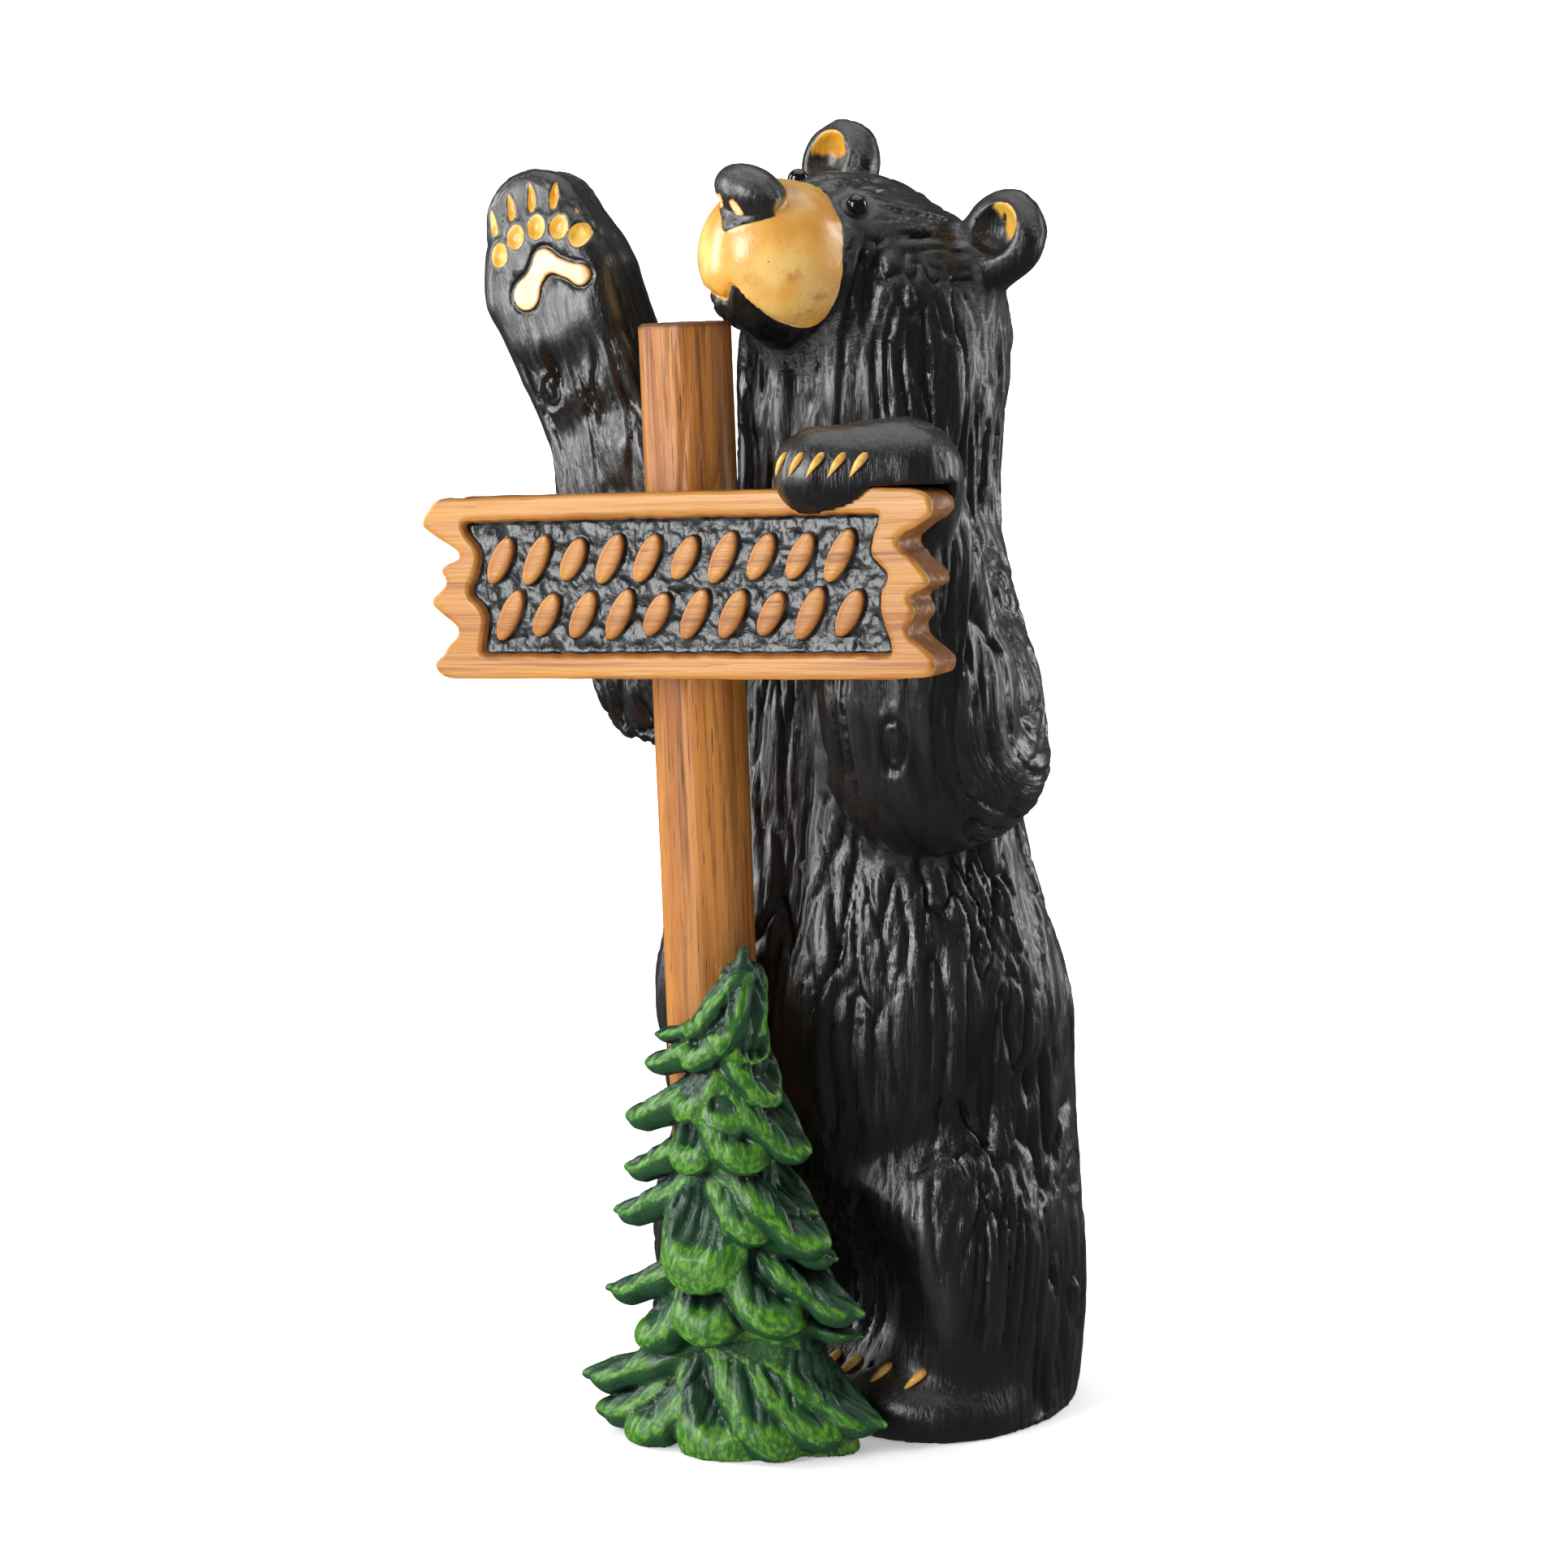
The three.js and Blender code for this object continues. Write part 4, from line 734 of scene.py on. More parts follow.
# Materials.
class Look:
    """A material with a few short ways to add nodes."""

    def __init__(self, name):
        self.material = bpy.data.materials.new(name)
        self.material.use_nodes = True
        self.tree = self.material.node_tree
        self.shader = self.tree.nodes["Principled BSDF"]

    def put(self, socket, value):
        if isinstance(value, bpy.types.NodeSocket):
            self.tree.links.new(value, socket)
        else:
            socket.default_value = value

    def node(self, kind, settings=(), **inputs):
        made = self.tree.nodes.new(kind)
        for key, value in dict(settings).items():
            setattr(made, key, value)
        for key, value in inputs.items():
            numbered = key[0] == "n" and key[1:].isdigit()
            self.put(made.inputs[int(key[1:]) if numbered else key.replace("_", " ")], value)
        return made

    def value(self, key):
        return self.node("ShaderNodeAttribute", {"attribute_name": key}).outputs["Fac"]

    def vector(self, key):
        return self.node("ShaderNodeAttribute", {"attribute_name": key}).outputs["Vector"]

    def place(self):
        return self.node("ShaderNodeTexCoord").outputs["Object"]

    def stretch(self, vector, scale):
        return self.node("ShaderNodeMapping", Vector=vector, Scale=scale).outputs[0]

    def noise(self, vector, scale=1.0, detail=3.0, rough=0.5):
        made = self.node("ShaderNodeTexNoise", Vector=vector, Scale=scale, Detail=detail, Roughness=rough)
        return made.outputs["Fac"]

    def fit(self, value, low, high, start=0.0, end=1.0):
        kind = {"clamp": True, "interpolation_type": "SMOOTHSTEP"}
        return self.node("ShaderNodeMapRange", kind, Value=value, From_Min=low, From_Max=high, To_Min=start,
                         To_Max=end).outputs[0]

    def math(self, how, a, b=0.0):
        return self.node("ShaderNodeMath", {"operation": how}, n0=a, n1=b).outputs[0]

    def mix(self, share, a, b):
        made = self.node("ShaderNodeMix", {"data_type": "RGBA"})
        self.put(made.inputs[0], share)
        self.put(made.inputs[6], a)
        self.put(made.inputs[7], b)
        return made.outputs[2]

    def blend(self, share, a, b):
        made = self.node("ShaderNodeMix", {"data_type": "FLOAT"})
        self.put(made.inputs[0], share)
        self.put(made.inputs[2], a)
        self.put(made.inputs[3], b)
        return made.outputs[0]

    def relief(self, height, distance, strength=1.0):
        made = self.node("ShaderNodeBump", Strength=strength, Distance=distance, Height=height)
        self.put(self.shader.inputs["Normal"], made.outputs[0])

    def finish(self, colour, roughness, **more):
        self.put(self.shader.inputs["Base Color"], colour)
        self.put(self.shader.inputs["Roughness"], roughness)
        for key, value in more.items():
            self.put(self.shader.inputs[key.replace("_", " ")], value)
        return self.material


def rgb(r, g, b):
    """A colour given as it looks on a screen, 0 to 255."""
    shares = (r / 255, g / 255, b / 255)
    return tuple(c / 12.92 if c <= 0.04045 else ((c + 0.055) / 1.055) ** 2.4 for c in shares) + (1,)


def bear_look():
    look = Look("bear_paint")
    place = look.place()
    lines = look.vector("lines")
    fine = look.noise(look.stretch(lines, (0.55, 0.55, 0.05)), 1.0, 4.0, 0.6)
    wide = look.noise(place, 22.0, 3.0)
    carve = look.value("carve")
    black = look.mix(look.fit(wide, 0.3, 0.7), rgb(13, 13, 14), rgb(22, 22, 24))
    # Painted sheen and painted shade: the black turns lighter grey on the raised ridges of the carving and
    # darker in its cut grooves.
    black = look.mix(look.fit(carve, 0.3, 1.8), black, rgb(36, 37, 38))
    black = look.mix(look.fit(carve, -0.8, -2.2), black, rgb(6, 6, 7))
    wobble = look.math("MULTIPLY", look.math("SUBTRACT", look.noise(place, 160.0, 2.0), 0.5), 1.6)
    patches = look.noise(place, 30.0, 3.0, 0.55)
    specks = look.noise(place, 900.0, 2.0)
    ochre = look.mix(look.fit(patches, 0.35, 0.68), rgb(232, 160, 56), rgb(250, 205, 115))
    ochre = look.mix(look.fit(look.noise(place, 55.0, 4.0, 0.6), 0.56, 0.75), ochre, rgb(205, 132, 44))
    ochre = look.mix(look.fit(specks, 0.66, 0.74), ochre, rgb(196, 128, 52))
    gold = look.mix(look.fit(patches, 0.4, 0.7), rgb(236, 166, 34), rgb(252, 208, 92))
    cloud = look.fit(look.noise(place, 120.0, 3.0), 0.4, 0.7)
    cream = look.mix(cloud, rgb(250, 226, 176), rgb(244, 205, 134))
    rim = look.fit(look.value("cream"), 1.1, 0.2)
    cream = look.mix(rim, cream, rgb(232, 158, 66))
    colour = black
    gloss = look.blend(look.fit(fine, 0.35, 0.7), 0.28, 0.44)
    paints = (("ochre", ochre, 0.3), ("ear", gold, 0.3), ("gold", gold, 0.22), ("cream", cream, 0.22))
    for key, paint, soft in paints:
        edge = look.math("ADD", look.value(key), look.math("MULTIPLY", wobble, 0.35))
        share = look.fit(edge, -soft, soft)
        colour = look.mix(share, colour, paint)
        gloss = look.blend(share, gloss, 0.3)
    height = look.math("MULTIPLY", fine, look.fit(look.value("ochre"), 0.4, -1.0, 0.15, 1.0))
    height = look.math("ADD", height, look.math("MULTIPLY", look.noise(place, 420.0, 3.0), 0.25))
    look.relief(height, 0.0007, 0.8)
    return look.finish(colour, gloss, Specular_IOR_Level=0.9, Coat_Weight=0.35, Coat_Roughness=0.22)


def eye_look():
    look = Look("eye_gloss")
    place = look.place()
    colour = look.mix(look.fit(look.noise(place, 260.0, 2.0), 0.4, 0.7), rgb(14, 10, 10), rgb(34, 22, 20))
    return look.finish(colour, 0.12, Coat_Weight=0.6, Coat_Roughness=0.05)


def claw_look():
    look = Look("claw_paint")
    place = look.place()
    shade = look.noise(place, 180.0, 3.0)
    colour = look.mix(look.fit(shade, 0.35, 0.7), rgb(226, 160, 60), rgb(250, 208, 112))
    dark = look.fit(look.value("edge"), 0.25, 0.9)
    colour = look.mix(dark, colour, rgb(120, 78, 30))
    look.relief(look.noise(place, 700.0, 2.0), 0.0003, 0.5)
    return look.finish(colour, 0.34, Coat_Weight=0.2, Coat_Roughness=0.2)


def wood(look, along, pale, middle, dark, scale):
    """Wood colour with long streaks and pores, in coordinates whose third axis runs along the grain."""
    broad = look.noise(look.stretch(along, (scale, scale, scale * 0.06)), 1.0, 4.0, 0.55)
    thin = look.noise(look.stretch(along, (scale * 5, scale * 5, scale * 0.12)), 1.0, 3.0, 0.6)
    pores = look.noise(look.stretch(along, (scale * 13, scale * 13, scale * 0.5)), 1.0, 2.0, 0.5)
    colour = look.mix(look.fit(broad, 0.32, 0.68), middle, pale)
    colour = look.mix(look.fit(thin, 0.5, 0.78), colour, dark)
    colour = look.mix(look.fit(pores, 0.66, 0.72), colour, dark)
    return colour, thin, pores


def post_look():
    look = Look("post_wood")
    along = look.vector("along")
    colour, thin, pores = wood(look, along, rgb(192, 126, 52), rgb(160, 95, 34), rgb(104, 54, 18), 0.11)
    edge = look.fit(look.value("edge"), 0.0, 1.0)
    colour = look.mix(edge, colour, rgb(112, 62, 26))
    height = look.math("SUBTRACT", look.math("MULTIPLY", thin, 0.6), look.fit(pores, 0.6, 0.75))
    look.relief(height, 0.0006, 0.7)
    return look.finish(colour, look.fit(thin, 0.3, 0.8, 0.36, 0.55), Coat_Weight=0.12, Coat_Roughness=0.3)


def sign_look():
    look = Look("sign_paint")
    place = look.place()
    along = look.vector("along")
    colour, thin, pores = wood(look, along, rgb(198, 138, 56), rgb(174, 110, 38), rgb(136, 76, 26), 0.05)
    low = look.value("low")
    edge = look.value("edge")
    colour = look.mix(look.fit(edge, 0.25, 0.9), colour, rgb(134, 82, 38))
    side = look.fit(low, 0.5, 2.6)
    colour = look.mix(side, colour, rgb(150, 88, 34))
    # Painted glint and painted shade: the sunk field's grey is lighter on the hammered high spots and darker
    # in the dips.
    grey = look.mix(look.fit(look.value("bump"), -0.6, 0.6), rgb(14, 15, 17), rgb(60, 63, 66))
    floor = look.fit(low, 3.1, 3.7)
    colour = look.mix(floor, colour, grey)
    rough = look.blend(floor, look.fit(thin, 0.3, 0.8, 0.34, 0.5), 0.24)
    height = look.blend(floor, look.math("SUBTRACT", look.math("MULTIPLY", thin, 0.5), pores),
                        look.noise(place, 420.0, 3.0))
    look.relief(height, 0.0005, 0.6)
    return look.finish(colour, rough, Coat_Weight=0.15, Coat_Roughness=0.25)


def tree_look():
    look = Look("tree_paint")
    place = look.place()
    wide = look.noise(place, 70.0, 3.0)
    base = look.mix(look.fit(wide, 0.3, 0.7), rgb(16, 46, 32), rgb(32, 74, 46))
    stroke = look.noise(look.stretch(look.vector("lines"), (0.5, 0.5, 0.07)), 1.0, 3.0, 0.55)
    # Painted highlight: rims, ridges and upward faces of the boughs (rim) turn light green.
    rim = look.value("rim")
    lit = look.math("ADD", rim, look.math("MULTIPLY", look.math("SUBTRACT", stroke, 0.5), 0.4))
    leaf = look.mix(look.fit(stroke, 0.4, 0.65), rgb(46, 100, 28), rgb(90, 148, 36))
    colour = look.mix(look.fit(lit, 0.0, 0.3), base, rgb(30, 76, 36))
    colour = look.mix(look.fit(lit, 0.34, 0.76), colour, leaf)
    # Painted shade: enclosed hollows between the boughs (deep) turn dark green.
    colour = look.mix(look.fit(look.value("deep"), 0.35, 0.95), colour, rgb(12, 34, 26))
    height = look.math("ADD", stroke, look.math("MULTIPLY", look.noise(place, 500.0, 3.0), 0.4))
    look.relief(height, 0.0008, 0.7)
    rough = look.fit(wide, 0.3, 0.7, 0.34, 0.48)
    return look.finish(colour, rough, Coat_Weight=0.15, Coat_Roughness=0.25)


def floor_look():
    look = Look("studio_floor")
    place = look.place()
    shade = look.noise(place, 3.0, 2.0)
    colour = look.mix(look.fit(shade, 0.2, 0.8), rgb(250, 250, 250), rgb(252, 252, 252))
    behind = look.node("ShaderNodeSeparateXYZ", Vector=place).outputs[1]
    glow = look.fit(behind, 0.3, 1.4, 0.35, 1.0)
    return look.finish(colour, 0.9, Emission_Color=(1, 1, 1, 1), Emission_Strength=glow)


# The bear.
def bear_axes():
    """Places along X, Y and Z, closer together on the raised paw and on the head."""
    xs = steps((-168, FINE_PITCH), (-100, PITCH), 105)
    ys = steps((-160, PITCH), 84)
    zs = steps((-1.5, PITCH * 1.15), (300, PITCH), (452, FINE_PITCH * 1.05), 595)
    return xs, ys, zs


def make_bear(material):
    points, quads = surface(bear_field, bear_axes())
    points, normal = settled(bear_field, points, 0.8)
    height, lines = bear_carving(points, normal)
    cad_low, cad_high = np.array(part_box("bear")) / MM
    points = points + normal * height[:, None]
    points = np.clip(points, cad_low + 0.05, cad_high - 0.05)
    # The carving height is also kept as "carve". From it bear_paint paints sheen on the ridges and shade in
    # the grooves.
    made = mesh_object("bear_carving", points, quads, {"carve": height, "lines": lines})
    q = to_head(points)
    muzzle, nose, _ = face(q)
    marked = (np.abs(muzzle) < 1.6) | (np.abs(nose) < 1.6) | (np.abs(ear_distance(q)) < 1.3)
    marked &= bear_form(points) > -3
    marked &= (points[:, 2] > 440) & (q[:, 0] > -25)
    x, z = points[:, 0], points[:, 2]
    near = np.abs([toe_distance(x, z), palm_claw_distance(x, z), pad_distance(x, z)]).min(axis=0)
    thinned(made, BEAR_TRIANGLES, marked | (on_palm(points, -62) & (near < 2.5)))
    colour_bear(made)
    return dress(made, "bear", material)


def colour_bear(made):
    points = places_of(made)
    q = to_head(points)
    muzzle, nose, holes = face(q)
    front = (points[:, 2] > 430) & (q[:, 0] > 40) & (head_field(points) < 3)
    ochre = np.where(front, np.minimum(muzzle, -nose), -5)
    x, z = points[:, 0], points[:, 2]
    palm = on_palm(points, PALM_FACE + 5.5)
    gold = np.where(palm, -np.minimum(toe_distance(x, z), palm_claw_distance(x, z)), -5)
    cream = np.where(palm, -pad_distance(x, z), np.where(front, holes, -5))
    ear = np.where((points[:, 2] > 500) & (head_field(points) > -6), ear_distance(q), -5)
    for key, data in (("ochre", ochre), ("gold", gold), ("cream", cream), ("ear", ear)):
        give(made, key, np.clip(data, -5, 5))


def front_of(field, x, z, start=-200.0):
    """Where a line of sight from in front meets a form, at a given X and Z."""
    y = start
    for _ in range(200):
        d = float(field(np.array([[x, y, z]]))[0])
        if d < 0.02:
            break
        y += max(d * 0.6, 0.02)
    return np.array([x, y, z])


def ring_faces(rings, sides):
    """Quads between rings of points, each ring closed on itself."""
    faces = []
    for i in range(rings):
        for s in range(sides):
            a, b = i * sides + s, i * sides + (s + 1) % sides
            faces.append((a, b, b + sides, a + sides))
    return faces


CLAW_RINGS, CLAW_SIDES = 10, 14
# Claws of the left hand: the first one's X and the step to the next, and the heights of tips and roots.
HAND_CLAW_START, HAND_CLAW_STEP = 27, 8.5
HAND_CLAW_TIP, HAND_CLAW_ROOT = SIGN_TOP + 8, SIGN_TOP + 18.5
HAND_CLAW_SLANT = 3.1
# Claws of the feet: how far they are from the bear's middle, and their height.
FOOT_CLAWS = (5, 16.5, 34, 52)
FOOT_CLAW_HEIGHT = 26.5


def claw_points(root, tip, across, wide, thick):
    """A curved claw from its root to its tip: round sections that swell and then narrow."""
    root, tip, across = (np.asarray(v, float) for v in (root, tip, across))
    run = tip - root
    out = unit(np.cross(across, run))
    points = []
    for i in range(CLAW_RINGS + 1):
        t = i / CLAW_RINGS
        girth = 0.04
        if 0 < i < CLAW_RINGS:
            girth = (sin(pi * min(t * 1.02 + 0.02, 1) ** 0.72)) ** 0.6 * (1 - 0.25 * t)
        middle = root + run * t + out * 0.16 * np.linalg.norm(run) * sin(pi * t)
        for s in range(CLAW_SIDES):
            angle = 2 * pi * s / CLAW_SIDES
            points.append(middle + across * wide * girth * cos(angle) + out * thick * girth * sin(angle))
    return np.array(points), np.array(ring_faces(CLAW_RINGS, CLAW_SIDES))


def make_claws(material):
    found_points, found_faces, edges = [], [], []

    def add(root, tip, across, wide, thick):
        points, faces = claw_points(root, tip, across, wide, thick)
        found_faces.append(faces + sum(len(p) for p in found_points))
        found_points.append(points)
        ends = np.abs(np.linspace(-1, 1, CLAW_RINGS + 1)).repeat(CLAW_SIDES) ** 4
        edges.append(ends * 0.6)

    for i in range(5):
        x = HAND_CLAW_START + HAND_CLAW_STEP * i
        tip = front_of(bear_form, x - HAND_CLAW_SLANT, HAND_CLAW_TIP)
        root = front_of(bear_form, x + HAND_CLAW_SLANT, HAND_CLAW_ROOT)
        add(root + (0, 0.6, 0), tip + (0, 0.3, 0), (-0.75, 0, 0.66), 1.5 + 0.13 * i, 1.7)
    for x in FOOT_CLAWS:
        for side in (-1, 1):
            place = front_of(bear_form, side * x + 2, FOOT_CLAW_HEIGHT)
            run = unit(np.array([0.85 * side, 0.42, 0.9]))
            across = (-0.72, 0, 0.69 * side)
            add(place + run * 7.4 + (0, 1.2, 0), place - run * 7.2 + (0, 0.2, 0), across, 2.2, 2.4)
    made = mesh_object("claws", np.concatenate(found_points), np.concatenate(found_faces),
                       {"edge": np.concatenate(edges)})
    return dress(made, None, material)


def make_eyes(material):
    rings, sides = 14, 24
    points, faces = [], []
    for side in (-1, 1):
        centre = HEAD_AT + FORWARD * EYE_FORWARD + CROWN * EYE_UP + SIDEWAYS * EYE_OUT * side
        start = len(points)
        for i in range(rings + 1):
            t = pi * (0.02 + 0.96 * i / rings)
            for s in range(sides):
                angle = 2 * pi * s / sides
                around = np.array([sin(t) * cos(angle), sin(t) * sin(angle), cos(t)])
                points.append(centre + EYE_RADIUS * around)
        faces += [(start + a, start + d, start + c, start + b) for a, b, c, d in ring_faces(rings, sides)]
    made = mesh_object("eyes", np.array(points), np.array(faces))
    return dress(made, None, material)


# The post: a peeled pole with long shallow flats and a chipped edge at its top.
def make_post(material):
    sides, rings = 144, 300
    top_radius = POST_RADIUS - POST_EDGE
    points, edge, along = [], [], []
    angle = 2 * pi * np.arange(sides) / sides
    heights = list(np.linspace(0, POST_TOP - POST_EDGE, rings)) + [POST_TOP]
    radii = [POST_RADIUS] * rings + [top_radius]
    inner = [0.94, 0.85, 0.7, 0.5, 0.3, 0.1, 0.02]
    heights += [POST_TOP] * len(inner)
    radii += [top_radius * share for share in inner]
    for ring, (z, radius) in enumerate(zip(heights, radii)):
        level = np.full(sides, z)
        flat = np.stack([np.cos(angle) * radius, np.sin(angle) * radius, level], 1)
        grain = noise(flat / (5.5, 5.5, 90), 51) * 0.35 + noise(flat / (15, 15, 160), 52) * 0.5
        groove = 1 - np.clip(np.abs(noise(flat / (7, 7, 120), 53)) / 0.08, 0, 1)
        carve = np.minimum(grain - 0.45 - 0.6 * groove, 0)
        side_share = radius / POST_RADIUS
        chip = 1.7 * np.exp(-((angle - 0.25) / 0.1) ** 2) * smooth(POST_TOP - 7, POST_TOP, level)
        r = radius + (carve - chip) * side_share
        lift = np.cos(angle) * r * tan(POST_LEAN) * smooth(POST_TOP - 60, POST_TOP, level)
        x = POST_FOOT[0] - z * tan(POST_LEAN) + np.cos(angle) * r
        end_cut = 0.25 * noise(flat / 4, 54) if ring >= rings else 0
        lifted = z + lift + end_cut * (radius < top_radius)
        points.append(np.stack([x, POST_FOOT[1] + np.sin(angle) * r, lifted], 1))
        rim = np.full(sides, 0.0 if ring < rings - 1 else 0.55)
        rim = rim + smooth(POST_TOP - 9, POST_TOP, level) * 0.3 + np.clip(-carve - 0.9, 0, 1) * 0.5
        edge.append(np.clip(rim, 0, 1))
        along.append(flat if ring < rings else np.stack([flat[:, 0], flat[:, 1], flat[:, 2] * 0], 1))
    faces = ring_faces(len(heights) - 1, sides)
    base = sum(len(p) for p in points)
    inward = points[0][:, :2] * 0.05 + np.array([POST_FOOT]) * 0.95
    points.append(np.concatenate([inward, np.zeros((sides, 1))], 1))
    edge.append(np.full(sides, 0.4))
    along.append(along[0])
    for s in range(sides):
        a, b = s, (s + 1) % sides
        faces.append((base + a, base + b, b, a))
    made = mesh_object("post_pole", np.concatenate(points), np.array(faces),
                       {"edge": np.concatenate(edge), "along": np.concatenate(along)})
    return dress(made, "sign_post", material)


# The sign board: a frame with splintered ends round a sunk, hammered field with two rows of strokes.
LEFT_SPLINTERS = [(1, 0.04), (0.7, 0.001), (0.36, 0.09), (0.22, 0.038), (0.06, 0.059), (-0.16, 0.011),
                  (-0.46, 0.081), (-0.84, 0.015), (-1, 0.04)]
RIGHT_SPLINTERS = [(1, 0.056), (0.93, 0.008), (0.71, 0.001), (0.45, 0.074), (0.24, 0.04), (0, 0.004),
                   (-0.13, 0.058), (-0.3, 0.039), (-0.5, 0.062), (-0.79, 0.004), (-1, 0.012)]
LEFT_RECESS = [(1, 0.017), (0.86, 0.007), (0.43, 0.047), (-0.07, 0.009), (-0.36, 0.052), (-1, 0.032)]
RIGHT_RECESS = [(1, 0.012), (0.42, 0.043), (0.14, 0), (-0.25, 0.028), (-0.92, 0.001), (-1, 0.009)]
STROKE_ROWS = 2
STROKES_IN_ROW = 10


def walked(left, right, half_length, half_height, radius=0.0):
    """Outline of the board or of its field, with the corners rounded off."""
    places = [(half_length - inset * SIGN_LENGTH, up * half_height) for up, inset in right]
    places += [(inset * SIGN_LENGTH - half_length, up * half_height) for up, inset in reversed(left)]
    corner = np.array(places, float)
    made = []
    for before, at, after in zip(np.roll(corner, 1, axis=0), corner, np.roll(corner, -1, axis=0)):
        ends = []
        for other in (before, after):
            ends.append(at + unit(other - at) * min(radius, 0.42 * np.linalg.norm(other - at)))
        for t in (0.0, 0.33, 0.67, 1.0):
            made.append(ends[0] * (1 - t) ** 2 + at * 2 * t * (1 - t) + ends[1] * t * t)
    return made


BOARD = (LEFT_SPLINTERS, RIGHT_SPLINTERS, SIGN_LENGTH / 2, SIGN_HEIGHT / 2, 5.5)
FIELD = (LEFT_RECESS, RIGHT_RECESS, SIGN_LENGTH / 2 - SIGN_FRAME * 2.1, SIGN_HEIGHT / 2 - SIGN_FRAME, 6.0)


def polygon(x, z, places):
    """Signed distance to a closed outline, negative inside."""
    corner = np.array(places, float)
    best = np.full(len(x), np.inf)
    inside = np.zeros(len(x), bool)
    for a, b in zip(corner, np.roll(corner, -1, axis=0)):
        run = b - a
        u, w = x - a[0], z - a[1]
        t = np.clip((u * run[0] + w * run[1]) / (run @ run), 0, 1)
        best = np.minimum(best, (u - t * run[0]) ** 2 + (w - t * run[1]) ** 2)
        crosses = (a[1] <= z) != (b[1] <= z)
        side = u * run[1] - w * run[0]
        inside ^= crosses & ((side < 0) == (run[1] > 0))
    return np.where(inside, -1, 1) * np.sqrt(best)


def stroke_distance(x, z):
    """Distance to the nearest of the leaning leaf-shaped strokes."""
    wide, tall = SIGN_LENGTH * 0.73, SIGN_HEIGHT * 0.6
    pitch = wide / STROKES_IN_ROW
    best = np.full(len(x), 30.0)
    for row in range(STROKE_ROWS):
        for i in range(STROKES_IN_ROW):
            cx = pitch * (i + 0.4 + 0.2 * row) - wide / 2
            cz = tall * (0.25 - 0.5 * row)
            half = tall * (0.21 + 0.02 * sin(2.3 * i + 1.7 * row))
            lean = 0.45
            u = (x - cx) - lean * (z - cz)
            t = np.clip((z - cz) / half, -1, 1)
            width = pitch * 0.26 * np.sqrt(np.maximum(1 - t * t, 0.0))
            beyond = np.maximum(np.abs(z - cz) - half, 0)
            best = np.minimum(best, np.hypot(np.maximum(np.abs(u) * 0.9 - width, 0), beyond)
                              + np.minimum(np.abs(u) * 0.9 - width, 0))
    return best


def hammered(x, z):
    at = np.stack([x, z, np.zeros(len(x))], 1)
    return 0.75 * noise(at / 6.5, 61) + 0.5 * np.abs(noise(at / 4.0, 62)) + 0.2 * noise(at / 2.0, 63)


def sign_field(q):
    """Field of the board on its own axes: along, depth and height."""
    x, y, z = q.T
    wave = np.stack([x / 16, z / 7, y / 14], 1)
    end = smooth(80, 105, np.abs(x))
    wobble = noise(wave, 64) * (0.35 + 0.9 * end)
    rim = polygon(x, z, walked(*BOARD)) + np.maximum(wobble, -0.2) + 0.2
    flakes = np.abs(noise(np.stack([x * 0.02, z / 5, y / 4.5], 1), 65))
    rim = rim + end * 1.1 * flakes * smooth(0, 5, y - SIGN_FRONT)
    half = SIGN_THICKNESS / 2
    face_wave = 0.25 * noise(np.stack([x / 60, z / 12, np.zeros(len(x))], 1), 66) - 0.25
    slab = np.abs(y - (SIGN_FRONT + SIGN_BACK) / 2) - half - face_wave
    corner = 2.0
    outside = np.hypot(np.maximum(rim + corner, 0), np.maximum(slab + corner, 0))
    d = np.minimum(np.maximum(rim, slab) + corner, 0) + outside - corner
    front = y < SIGN_FRONT + 9
    if front.any():
        fx, fy, fz = x[front], y[front], z[front]
        recess = polygon(fx, fz, walked(*FIELD)) + 0.5 * np.clip(fy - SIGN_FRONT, 0, 6)
        recess = recess + 0.7 * noise(np.stack([fx / 7, fz / 7, np.zeros(len(fx))], 1), 67)
        floor = SIGN_FRONT + SIGN_RECESS + hammered(fx, fz) * 0.9
        sunk = np.maximum(recess, fy - floor)
        e = cut(d[front], sunk, 1.3)
        stroke = stroke_distance(fx, fz)
        top = SIGN_FRONT + SIGN_RECESS - STROKE_RISE + 0.035 * np.maximum(stroke + 4, 0) ** 2
        raised = np.maximum(np.maximum(stroke, top - fy), fy - SIGN_FRONT - 8)
        d[front] = join(e, raised, 1.0)
    return d


def make_sign(material):
    pitch = PITCH * 0.68
    xs = steps((-SIGN_LENGTH / 2 - 1.5, pitch), SIGN_LENGTH / 2 + 1.5)
    ys = steps((SIGN_FRONT - 1.5, pitch * 0.8), (SIGN_FRONT + 7, pitch * 1.8), SIGN_BACK + 1.5)
    zs = steps((-SIGN_HEIGHT / 2 - 1.5, pitch), SIGN_HEIGHT / 2 + 1.5)
    points, quads = surface(sign_field, (xs, ys, zs))
    points, _ = settled(sign_field, points, 0.4)
    made = mesh_object("sign_carving", from_sign(points), quads)
    thinned(made, SIGN_TRIANGLES)
    q = to_sign(places_of(made))
    x, y, z = q.T
    recess = polygon(x, z, walked(*FIELD))
    low = np.where(recess < 2, y - SIGN_FRONT, 0) * (y < SIGN_FRONT + 9)
    rim = polygon(x, z, walked(*BOARD))
    side = smooth(0.5, 4.0, y - SIGN_FRONT) * smooth(-3.5, -0.5, rim)
    near_recess = smooth(3.0, 0.4, recess) * smooth(-1.5, 0.0, recess)
    end = smooth(96, 120, np.abs(x)) * 0.35
    give(made, "low", low)
    give(made, "edge", np.clip(side * (0.55 + end) + near_recess * 0.45, 0, 1))
    give(made, "along", np.stack([y, z, x], 1))
    # The hammered height. sign_paint turns it into painted glint on the high spots and painted shade in the
    # dips.
    give(made, "bump", -hammered(x, z))
    return dress(made, "sign_board", material)


